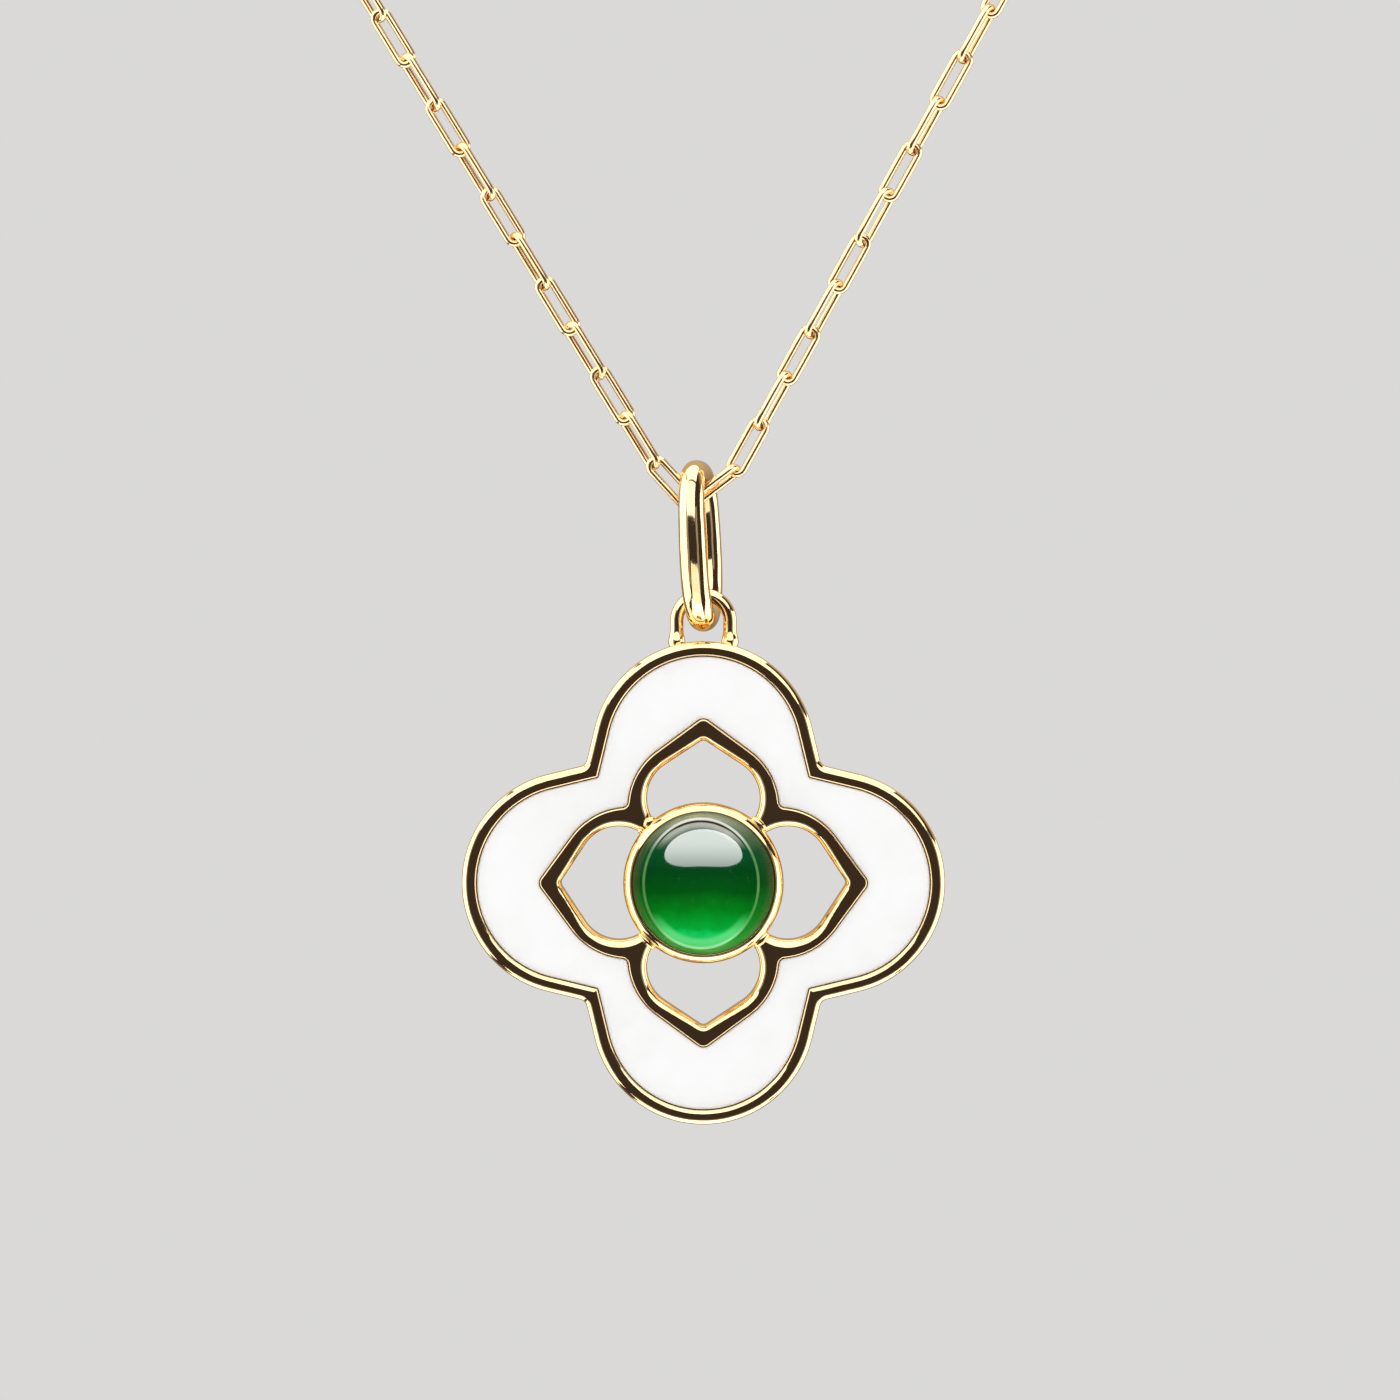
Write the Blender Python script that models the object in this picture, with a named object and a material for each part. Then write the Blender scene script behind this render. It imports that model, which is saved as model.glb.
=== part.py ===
"""Quatrefoil pendant with a round jadeite cabochon, hanging on a fine paperclip chain.

Lengths are in metres and angles in degrees. +Z is up and the front faces -Y. The necklace hangs flat in
the XZ plane. The origin is where a neck carries it: the underside of the clasp, at the top of the loop.
The chain runs down both sides to a V, the bail hangs in the V, and the setting hangs on the bail.
The setting, the inlay and the stone are drawn about the middle of the quatrefoil.
"""

import math

import bmesh
import bpy
from mathutils import Euler, Vector

# Quatrefoil outline: four round lobes on the axes, whose straight flanks meet in notches on the diagonals
LOBE_DISTANCE = 0.00486
LOBE_RADIUS = 0.00418
LOBE_FLARE = 13.6
NOTCH_FILLET = 0.00035

# Setting: a flat-backed tray with a rounded rim
SETTING_THICKNESS = 0.0018
RIM_WIDTH = 0.00054
RIM_ROUND = 0.00022
BACK_EASE = 0.00012
TRAY_DEPTH = 0.0009

# Petal frames: each has a pointed tip on a lobe's axis and a round shoulder that ends on the diagonal
FRAME_TIP = 0.0062
FRAME_CORNER = 0.00281
FRAME_SHOULDER = 0.00262
TIP_WALL = 0.00083
SHOULDER_WALL = 0.00069
PETAL_RISE = 0.00035
PETAL_SHOULDER = 0.00151
PETAL_HEEL = -45.0
PETAL_EASE = 0.00009

# Bezel cup and the stone in it
BEZEL_RADIUS = 0.003
BEZEL_WALL = 0.0002
BEZEL_PROUD = 0.00035
LIP_OVERLAP = 0.0001
LIP_EASE = 0.00008
CUP_FLOOR = 0.0005
DOME_HEIGHT = 0.0017
STONE_GAP = 0.00005

# Inlay in the tray
INLAY_DROP = 0.00012
INLAY_GAP = 0.00004
TRAY_CORNER = 0.00004

# Arch of wire soldered on the top lobe, whose legs stand in the rim
LOOP_HOLE = 0.00075
LOOP_WIRE = 0.0005
LOOP_RISE = 0.00075
LOOP_SINK = 0.0003
LOOP_PLAY = 0.0001

# Bail: a long oval ring, turned a little about the vertical and leaning with its top to the left
BAIL_HEIGHT = 0.00644
BAIL_DEPTH = 0.004
BAIL_WIRE = 0.001
BAIL_TURN = 11.0
BAIL_LEAN = -2.5

# Chain: its links fill a round tube, which wraps the bail's top bar with room to swing
NECKLACE_LENGTH = 0.42
CHAIN_WIDTH = 0.0008
CHAIN_ROOM = 0.0003
FALL_LEFT = 31.5
FALL_RIGHT = 29.0

# Clasp: a plain barrel with an eye at each end
CLASP_LENGTH = 0.0064
CLASP_WIDTH = 0.0022
CLASP_EASE = 0.0004
EYE_HOLE = 0.00065
EYE_WIRE = 0.0004
EYE_SINK = 0.0003
CLASP_GAP = 0.0001

# Facets
LOBE_STEPS = 12
FILLET_STEPS = 2
SHOULDER_STEPS = 7
ROUND_STEPS = 3
DOME_STEPS = 8
TURN_STEPS = 56
CLASP_STEPS = 20
WIRE_SIDES = 12
BAIL_STEPS = 12
LOOP_STEPS = 14
EYE_STEPS = 20
V_STEPS = 4
STRAND_STEPS = 12
NAPE_STEPS = 22

# The bezel's lip from its outer edge over the crown: shares of its width inwards and of LIP_EASE down
LIP_SECTIONS = [
    {"inwards": 0.0, "down": 2.0},
    {"inwards": 0.15, "down": 0.5},
    {"inwards": 0.4, "down": 0.0},
    {"inwards": 0.8, "down": 0.2},
]

FRONT = -SETTING_THICKNESS / 2
BACK = SETTING_THICKNESS / 2
SEAT_RADIUS = BEZEL_RADIUS - BEZEL_WALL
STONE_RADIUS = SEAT_RADIUS - STONE_GAP
LIP_WIDTH = BEZEL_WALL + LIP_OVERLAP
LOOP_RING = LOOP_HOLE + LOOP_WIRE / 2
EYE_RING = EYE_HOLE + EYE_WIRE / 2


# Outlines as (x, z) pairs, counter-clockwise as seen from the front

def arc(centre, radius, start, end, steps):
    """Points on a circle from one angle to another, in radians, both ends included."""
    turns = [start + (end - start) * i / steps for i in range(steps + 1)]
    return [(centre[0] + radius * math.cos(t), centre[1] + radius * math.sin(t)) for t in turns]


def four_fold(half):
    """Closed outline from half a lobe, given from its right-hand diagonal to its axis."""
    lobe = half + [(-x, z) for x, z in reversed(half[1:-1])]
    outline = []
    for _ in range(4):
        outline += lobe
        lobe = [(-z, x) for x, z in lobe]
    return outline


def lobe_outline(inset, fillet):
    """Quatrefoil at a distance inside the setting's edge, with the given fillet in its notches."""
    flare = math.radians(LOBE_FLARE)
    radius = LOBE_RADIUS - inset
    corner = (radius + LOBE_DISTANCE * math.sin(flare)) / (math.cos(flare) + math.sin(flare))
    reach = corner + fillet * math.sqrt(0.5) / math.sin(math.pi / 4 + flare)
    notch = arc((reach, reach), fillet, math.pi * 5 / 4, math.pi + flare, FILLET_STEPS)
    return four_fold(notch + arc((0.0, LOBE_DISTANCE), radius, flare, math.pi / 2, LOBE_STEPS))


def tip_slope(tip, centre, radius):
    """Angle below the level of the straight line from a tip on the axis that touches a shoulder's circle."""
    rise = tip - centre[1]
    return math.acos(radius / math.hypot(rise, centre[0])) - math.atan2(centre[0], rise)


def frame_outline(outset):
    """Outer edge of the four petal frames, moved outwards by a distance."""
    centre = (FRAME_CORNER - FRAME_SHOULDER, FRAME_CORNER)
    slope = tip_slope(FRAME_TIP, centre, FRAME_SHOULDER)
    radius = FRAME_SHOULDER + outset
    start = math.acos(FRAME_SHOULDER / radius * math.sqrt(0.5)) - math.pi / 4
    shoulder = arc(centre, radius, start, math.pi / 2 - slope, SHOULDER_STEPS)
    return four_fold(shoulder + [(0.0, FRAME_TIP + outset / math.cos(slope))])


def petal_outline(outset):
    """The opening of the upper petal, moved outwards by a distance; its heel lies inside the bezel cup."""
    half_width = FRAME_CORNER - SHOULDER_WALL
    centre = (half_width - PETAL_SHOULDER, FRAME_CORNER + PETAL_RISE)
    tip = FRAME_TIP - TIP_WALL
    slope = tip_slope(tip, centre, PETAL_SHOULDER)
    heel = math.radians(PETAL_HEEL)
    right = arc(centre, PETAL_SHOULDER + outset, heel, math.pi / 2 - slope, SHOULDER_STEPS)
    return right + [(0.0, tip + outset / math.cos(slope))] + [(-x, z) for x, z in reversed(right)]


# Solids

def material(name, colour, roughness, metallic):
    """A Principled material."""
    made = bpy.data.materials.new(name)
    made.use_nodes = True
    shader = made.node_tree.nodes["Principled BSDF"]
    shader.inputs["Base Color"].default_value = (*colour, 1.0)
    shader.inputs["Roughness"].default_value = roughness
    shader.inputs["Metallic"].default_value = metallic
    return made


def gold(name):
    """Polished yellow gold."""
    return material(name, (0.88, 0.63, 0.29), 0.12, 1.0)


def add_object(name, data, parent, location=(0.0, 0.0, 0.0), finish=None):
    """Link an object under a parent."""
    obj = bpy.data.objects.new(name, data)
    bpy.context.scene.collection.objects.link(obj)
    obj.parent = parent
    obj.location = location
    if finish:
        data.materials.append(finish)
    return obj


def mesh_from(bm, name):
    """Turn a closed bmesh into a smooth-shaded mesh whose faces point outwards."""
    bmesh.ops.recalc_face_normals(bm, faces=bm.faces)
    mesh = bpy.data.meshes.new(name)
    bm.to_mesh(mesh)
    bm.free()
    mesh.shade_smooth()
    mesh.set_sharp_from_angle(angle=math.radians(35.0))
    return mesh


def add_stack(bm, rings):
    """Add a closed solid through rings of equally many points, with a flat face on the first and last."""
    loops = [[bm.verts.new(point) for point in ring] for ring in rings]
    bm.faces.new(reversed(loops[0]))
    bm.faces.new(loops[-1])
    for low, high in zip(loops, loops[1:]):
        for i in range(len(low)):
            bm.faces.new((low[i - 1], low[i], high[i], high[i - 1]))


def slab(sections):
    """Rings for add_stack from pairs of an outline and its y, from the back to the front."""
    return [[(x, y, z) for x, z in outline] for outline, y in sections]


def turned_ring(ring, turns):
    """A ring of points turned about the pendant's front-to-back axis by quarter turns."""
    for _ in range(turns):
        ring = [(-z, y, x) for x, y, z in ring]
    return ring


def band_mesh(name, outer, inner, back, front):
    """A flat band between two outlines: their area is filled, then extruded from back to front."""
    bm = bmesh.new()
    edges = []
    for outline in (outer, inner):
        verts = [bm.verts.new((x, back, z)) for x, z in outline]
        edges += [bm.edges.new((verts[i - 1], verts[i])) for i in range(len(verts))]
    filled = bmesh.ops.triangle_fill(bm, use_beauty=True, edges=edges)["geom"]
    faces = [item for item in filled if isinstance(item, bmesh.types.BMFace)]
    moved = bmesh.ops.extrude_face_region(bm, geom=faces)["geom"]
    lifted = [item for item in moved if isinstance(item, bmesh.types.BMVert)]
    bmesh.ops.translate(bm, vec=(0.0, front - back, 0.0), verts=lifted)
    return mesh_from(bm, name)


def lathe_mesh(name, profile, axis, steps):
    """Turn a profile of (radius, distance along the axis) pairs, whose ends lie on the axis."""
    bm = bmesh.new()
    along = Vector(axis)
    verts = [bm.verts.new(Vector((0.0, 0.0, radius)) + along * place) for radius, place in profile]
    edges = [bm.edges.new(pair) for pair in zip(verts, verts[1:])]
    bmesh.ops.spin(bm, geom=verts + edges, cent=(0.0, 0.0, 0.0), axis=along, angle=2 * math.pi,
                   steps=steps, use_duplicate=False)
    bmesh.ops.remove_doubles(bm, verts=bm.verts, dist=1e-7)
    return mesh_from(bm, name)


def wire_mesh(name, path, normal, wire, closed):
    """A round wire along a flat path, whose plane has the given normal; closed joins its ends."""
    bm = bmesh.new()
    across = Vector(normal)
    points = [Vector(point) for point in path]
    before = points[-1:] if closed else points[:1]
    after = points[:1] if closed else points[-1:]
    loops = []
    for point, last, following in zip(points, before + points, points[1:] + after):
        out = (following - last).cross(across).normalized()
        section = [2 * math.pi * j / WIRE_SIDES for j in range(WIRE_SIDES)]
        loops.append([bm.verts.new(point + (out * math.cos(t) + across * math.sin(t)) * wire / 2)
                      for t in section])
    for near, far in zip(loops, loops[1:] + (loops[:1] if closed else [])):
        for j in range(WIRE_SIDES):
            bm.faces.new((near[j - 1], near[j], far[j], far[j - 1]))
    if not closed:
        bm.faces.new(loops[0])
        bm.faces.new(loops[-1])
    return mesh_from(bm, name)


def combine(target, operation, other):
    """Join or cut a piece with a guide object, which stays out of the model."""
    other.hide_render = True
    other.display_type = "WIRE"
    step = target.modifiers.new(other.name, "BOOLEAN")
    step.operation = operation
    step.solver = "EXACT"
    step.object = other


# Sub-assemblies

def tray_rings():
    """The setting's outer form: eased at the back, with a quarter round on the front edge."""
    sections = [(lobe_outline(BACK_EASE, NOTCH_FILLET + BACK_EASE), BACK),
                (lobe_outline(0.0, NOTCH_FILLET), BACK - BACK_EASE)]
    for i in range(ROUND_STEPS + 1):
        turn = math.pi / 2 * i / ROUND_STEPS
        inset = RIM_ROUND * (1 - math.cos(turn))
        depth = FRONT + RIM_ROUND * (1 - math.sin(turn))
        sections.append((lobe_outline(inset, NOTCH_FILLET + inset), depth))
    return slab(sections)


def dome_turn():
    """Angle on the stone's dome at which the bezel's lip ends over it."""
    return math.acos(1 - LIP_OVERLAP / STONE_RADIUS)


def girdle():
    """The y at which the stone's upright wall goes over into its dome."""
    return FRONT - BEZEL_PROUD + LIP_EASE + DOME_HEIGHT * math.sin(dome_turn())


def cup_profile():
    """Bezel cup, from the middle of its back, over the lip, to the middle of the seat."""
    top = FRONT - BEZEL_PROUD
    profile = [(0.0, BACK), (BEZEL_RADIUS, BACK)]
    for row in LIP_SECTIONS:
        profile.append((BEZEL_RADIUS - LIP_WIDTH * row["inwards"], top + LIP_EASE * row["down"]))
    for i in range(ROUND_STEPS, -1, -1):
        turn = dome_turn() * i / ROUND_STEPS
        profile.append((STONE_RADIUS * math.cos(turn) + STONE_GAP, girdle() - DOME_HEIGHT * math.sin(turn)))
    return profile + [(SEAT_RADIUS, BACK - CUP_FLOOR), (0.0, BACK - CUP_FLOOR)]


def build_setting(parent, location):
    """Tray, petal frames, bezel cup and top loop, soldered into one piece."""
    bm = bmesh.new()
    add_stack(bm, tray_rings())
    tray = mesh_from(bm, "gold_setting")
    setting = add_object("gold_setting", tray, parent, location, gold("setting_gold"))

    clear = FRONT - RIM_ROUND
    floor = FRONT + TRAY_DEPTH
    wall = lobe_outline(RIM_WIDTH, TRAY_CORNER)
    channel = band_mesh("tray_channel", wall, frame_outline(0.0), floor, clear)
    combine(setting, "DIFFERENCE", add_object("tray_channel", channel, parent, location))

    bm = bmesh.new()
    plain, eased = petal_outline(0.0), petal_outline(PETAL_EASE)
    opening = slab([(plain, BACK + RIM_ROUND), (plain, FRONT + PETAL_EASE), (eased, FRONT), (eased, clear)])
    for turns in range(4):
        add_stack(bm, [turned_ring(ring, turns) for ring in opening])
    combine(setting, "DIFFERENCE", add_object("petal_openings", mesh_from(bm, "petals"), parent, location))

    bm = bmesh.new()
    disc = arc((0.0, 0.0), BEZEL_RADIUS - BEZEL_WALL / 2, 0.0, 2 * math.pi, TURN_STEPS)[:-1]
    add_stack(bm, slab([(disc, BACK + RIM_ROUND), (disc, clear)]))
    combine(setting, "DIFFERENCE", add_object("cup_hole", mesh_from(bm, "cup_hole"), parent, location))

    cup = lathe_mesh("bezel_cup", cup_profile(), (0.0, 1.0, 0.0), TURN_STEPS)
    combine(setting, "UNION", add_object("bezel_cup", cup, parent, location))

    bend = arc((0.0, 0.0), LOOP_RING, 0.0, math.pi, LOOP_STEPS)
    legs = [(side * LOOP_RING, -LOOP_RISE - LOOP_SINK) for side in (1, -1)]
    path = [(x, 0.0, z) for x, z in legs[:1] + bend + legs[1:]]
    arch = wire_mesh("top_loop", path, (0.0, 1.0, 0.0), LOOP_WIRE, False)
    centre = Vector(location) + Vector((0.0, 0.0, loop_height()))
    combine(setting, "UNION", add_object("top_loop", arch, parent, centre))


def loop_height():
    """Centre of the top loop's bend above the middle of the quatrefoil."""
    return LOBE_DISTANCE + LOBE_RADIUS + LOOP_RISE


def build_inlay(parent, location):
    """White band that fills the tray."""
    outer = lobe_outline(RIM_WIDTH + INLAY_GAP, TRAY_CORNER + INLAY_GAP)
    mesh = band_mesh("white_inlay", outer, frame_outline(INLAY_GAP), FRONT + TRAY_DEPTH - INLAY_GAP,
                     FRONT + INLAY_DROP)
    white = material("inlay_white", (0.92, 0.925, 0.93), 0.18, 0.0)
    add_object("white_inlay", mesh, parent, location, white)


def build_stone(parent, location):
    """Round cabochon with a flat back, an upright wall and a dome."""
    back = BACK - CUP_FLOOR - STONE_GAP
    profile = [(0.0, back), (STONE_RADIUS, back)]
    for i in range(DOME_STEPS + 1):
        turn = math.pi / 2 * i / DOME_STEPS
        radius = STONE_RADIUS * math.cos(turn) if i < DOME_STEPS else 0.0
        profile.append((radius, girdle() - DOME_HEIGHT * math.sin(turn)))
    green = material("jade_green", (0.01, 0.33, 0.09), 0.06, 0.0)
    mesh = lathe_mesh("jade_cabochon", profile, (0.0, 1.0, 0.0), TURN_STEPS)
    add_object("jade_cabochon", mesh, parent, location, green)


def bail_span():
    """Distance between the middles of the bail's top and bottom bars."""
    return BAIL_HEIGHT - BAIL_WIRE


def build_bail(parent, foot):
    """Long oval ring; foot is the middle of its bottom bar."""
    radius = (BAIL_DEPTH - BAIL_WIRE) / 2
    low = arc((0.0, radius), radius, math.pi, 2 * math.pi, BAIL_STEPS)
    high = arc((0.0, bail_span() - radius), radius, 0.0, math.pi, BAIL_STEPS)
    path = [(0.0, y, z) for y, z in low + high]
    mesh = wire_mesh("bail", path, (1.0, 0.0, 0.0), BAIL_WIRE, True)
    bail = add_object("bail", mesh, parent, foot, gold("bail_gold"))
    bail.rotation_mode = "ZYX"
    bail.rotation_euler = bail_tilt()


def bail_tilt():
    """The bail's turn about the vertical, then its lean to the side."""
    return Euler((0.0, math.radians(BAIL_LEAN), -math.radians(BAIL_TURN)), "ZYX")


def strand_sizes(side, fall, drop):
    """One side of the loop, from below the bail's top bar to the clasp.

    x counts outwards and z up from the middle of the bail's top bar. Returns the strand's fall in radians,
    the radius and centre of the arc round the nape, and the length of the straight strand.
    """
    lean = math.radians(fall)
    start = side * bar_shift()
    end = clasp_reach()
    wrap = wrap_radius()
    across = (start - end) * math.cos(lean)
    radius = (across + drop * math.sin(lean) + wrap) / (1 + math.sin(lean))
    straight = (end - start) * math.sin(lean) + (drop - radius) * math.cos(lean)
    return lean, radius, (end - start, drop - radius), straight


def strand_length(side, fall, drop):
    """Length of one side of the loop, with its half of the clasp."""
    lean, radius, _, straight = strand_sizes(side, fall, drop)
    wrapped = wrap_radius() * (math.pi / 2 - lean)
    return wrapped + straight + radius * (math.pi / 2 + lean) + clasp_reach()


def loop_drop():
    """Height of the clasp's axis above the bail's top bar that gives the necklace its length.

    The length grows evenly with the drop, so two trial drops give the right one.
    """
    trials = [NECKLACE_LENGTH / 4, NECKLACE_LENGTH / 2]
    lengths = [strand_length(-1, FALL_LEFT, drop) + strand_length(1, FALL_RIGHT, drop) for drop in trials]
    share = (NECKLACE_LENGTH - lengths[0]) / (lengths[1] - lengths[0])
    return trials[0] + share * (trials[1] - trials[0])


def strand_points(side, fall):
    """Points of one side of the chain, from below the bail's top bar to the clasp's eye."""
    drop = loop_drop()
    lean, radius, centre, straight = strand_sizes(side, fall, drop)
    points = arc((0.0, 0.0), wrap_radius(), -math.pi / 2, -lean, V_STEPS)
    corner = points[-1]
    for i in range(1, STRAND_STEPS):
        along = straight * i / STRAND_STEPS
        points.append((corner[0] + along * math.sin(lean), corner[1] + along * math.cos(lean)))
    points += arc(centre, radius, -lean, math.pi / 2, NAPE_STEPS)
    return [(bar_shift() + side * x, 0.0, z - drop + CLASP_WIDTH / 2) for x, z in points]


def wrap_radius():
    """Radius at which the chain's middle wraps the middle of the bail's top bar."""
    return BAIL_WIRE / 2 + CHAIN_WIDTH / 2 + CHAIN_ROOM


def bar_shift():
    """Sideways place of the bail's top bar, which leans off the middle."""
    return bail_span() * math.sin(math.radians(BAIL_LEAN))


def clasp_reach():
    """Half the clasp's whole length, with the gap to the chain."""
    return eye_place() + EYE_HOLE + EYE_WIRE + CLASP_GAP


def eye_place():
    """Distance of an eye's centre from the middle of the clasp: its wire sinks a little into the barrel."""
    return CLASP_LENGTH / 2 + EYE_HOLE + EYE_WIRE - EYE_SINK


def build_chain():
    """The whole loop from eye to eye, as one round tube."""
    left = strand_points(-1, FALL_LEFT)
    right = strand_points(1, FALL_RIGHT)
    points = left[::-1] + right[1:]
    curve = bpy.data.curves.new("chain", "CURVE")
    curve.dimensions = "3D"
    curve.bevel_depth = CHAIN_WIDTH / 2
    curve.bevel_resolution = 2
    curve.use_fill_caps = True
    spline = curve.splines.new("POLY")
    spline.points.add(len(points) - 1)
    for place, point in zip(spline.points, points):
        place.co = (*point, 1.0)
    add_object("chain", curve, None, finish=gold("chain_gold"))


def build_clasp():
    """Plain barrel along X with an eye soldered to each end."""
    half, wide, ease = CLASP_LENGTH / 2, CLASP_WIDTH / 2, CLASP_EASE
    end = [(wide - ease * (1 - math.cos(math.pi / 2 * i / ROUND_STEPS)),
            half - ease * (1 - math.sin(math.pi / 2 * i / ROUND_STEPS))) for i in range(ROUND_STEPS + 1)]
    profile = [(0.0, -half)] + [(r, -x) for r, x in reversed(end)] + end + [(0.0, half)]
    height = (0.0, 0.0, wide)
    barrel = lathe_mesh("clasp", profile, (1.0, 0.0, 0.0), CLASP_STEPS)
    clasp = add_object("clasp", barrel, None, height, gold("clasp_gold"))
    for side, name in ((-1, "left_eye"), (1, "right_eye")):
        circle = arc((0.0, 0.0), EYE_RING, 0.0, 2 * math.pi, EYE_STEPS)[:-1]
        path = [(x, 0.0, z) for x, z in circle]
        ring = wire_mesh(name, path, (0.0, 1.0, 0.0), EYE_WIRE, True)
        centre = (side * eye_place(), 0.0, wide)
        combine(clasp, "UNION", add_object(name, ring, None, centre))


def build_model():
    """Remove what the file holds, then build the necklace from the nape down."""
    for obj in list(bpy.data.objects):
        bpy.data.objects.remove(obj, do_unlink=True)
    build_clasp()
    build_chain()

    bar = Vector((bar_shift(), 0.0, CLASP_WIDTH / 2 - loop_drop()))
    pivot = bar - Vector((0.0, 0.0, wrap_radius()))
    bail_hinge = add_object("bail_hinge", None, None, pivot)
    foot = bar - bail_tilt().to_matrix() @ Vector((0.0, 0.0, bail_span()))
    build_bail(bail_hinge, foot - pivot)

    pendant_hinge = add_object("pendant_hinge", None, bail_hinge, foot - pivot)
    hang = loop_height() + LOOP_HOLE - BAIL_WIRE / 2 - LOOP_PLAY
    middle = Vector((0.0, 0.0, -hang))
    build_setting(pendant_hinge, middle)
    build_inlay(pendant_hinge, middle)
    build_stone(pendant_hinge, middle)


build_model()
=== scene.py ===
"""Looks of the jadeite pendant necklace: fine surfaces, finishes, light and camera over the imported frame.

Lengths are in metres and angles in degrees unless a docstring says otherwise. +Z is up, the front faces -Y.
"""

import logging
import math
from dataclasses import dataclass, field, replace
from enum import Enum
from typing import Callable, Optional, Union

import bmesh
import bpy
import numpy as np
from mathutils import Euler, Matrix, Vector


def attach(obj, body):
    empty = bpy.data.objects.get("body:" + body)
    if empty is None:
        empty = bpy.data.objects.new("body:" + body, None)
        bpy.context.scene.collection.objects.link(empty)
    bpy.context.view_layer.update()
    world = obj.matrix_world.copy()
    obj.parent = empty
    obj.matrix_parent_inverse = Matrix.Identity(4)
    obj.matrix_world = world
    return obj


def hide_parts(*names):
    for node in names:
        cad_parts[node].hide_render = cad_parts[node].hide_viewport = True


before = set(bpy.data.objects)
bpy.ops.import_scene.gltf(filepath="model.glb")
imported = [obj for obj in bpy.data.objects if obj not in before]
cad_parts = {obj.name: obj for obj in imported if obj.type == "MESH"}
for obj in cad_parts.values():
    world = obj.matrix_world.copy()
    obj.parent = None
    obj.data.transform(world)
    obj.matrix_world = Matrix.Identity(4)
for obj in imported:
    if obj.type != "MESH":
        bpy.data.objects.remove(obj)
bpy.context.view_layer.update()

MM = 0.001
MIDDLE = Vector((0.0, 0.0, -0.173741))
BAR = Vector((-0.000237, 0.0, -0.158366))
log = logging.getLogger("jadeite_pendant")


class Body(Enum):
    """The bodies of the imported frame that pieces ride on."""

    NECKLACE = "necklace"
    BAIL = "bail_body"
    PENDANT = "pendant"


class Slot(Enum):
    """The record's material slots."""

    SETTING = "setting_gold"
    INLAY = "inlay_white"
    STONE = "jade_green"
    BAIL = "bail_gold"
    CHAIN = "chain_gold"
    CLASP = "clasp_gold"


# Shader recipes

def operator(operation: str, swapped: bool = False) -> Callable:
    """Make an operator of Field.

    Args:
        operation: The Math node's operation.
        swapped: Whether it is a reflected operator, which swaps its two values.

    Returns:
        The operator.
    """

    def act(self: "Field", other: "Value" = 0.0) -> "Field":
        """Add a Math node that takes this value and another."""
        left, right = (other, self) if swapped else (self, other)
        return self.recipe.node("ShaderNodeMath", {"operation": operation}, {0: left, 1: right})

    return act


class Field:
    """A value or colour that varies over a surface: a shader socket that takes part in sums."""

    def __init__(self, recipe: "Recipe", socket: Optional[bpy.types.NodeSocket]) -> None:
        """Keep the socket and the recipe that it belongs to."""
        self.recipe = recipe
        self.socket = socket

    __add__ = __radd__ = operator("ADD")
    __mul__ = __rmul__ = operator("MULTIPLY")
    __sub__, __rsub__ = operator("SUBTRACT"), operator("SUBTRACT", True)
    __truediv__, __rtruediv__ = operator("DIVIDE"), operator("DIVIDE", True)
    __pow__, __rpow__ = operator("POWER"), operator("POWER", True)
    root = operator("SQRT")

    def ease(self, low: float, high: float) -> "Field":
        """Rise smoothly from 0 to 1 as this value goes from one number to another.

        Args:
            low: Where the rise starts. It may be the higher number.
            high: Where the rise ends.

        Returns:
            The rise.
        """
        settings = {"interpolation_type": "SMOOTHSTEP", "clamp": True}
        if low < high:
            return self.recipe.node("ShaderNodeMapRange", settings, {"Value": self, 1: low, 2: high})
        return 1.0 - self.recipe.node("ShaderNodeMapRange", settings, {"Value": self, 1: high, 2: low})


Value = Union[float, tuple, Field]


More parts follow.
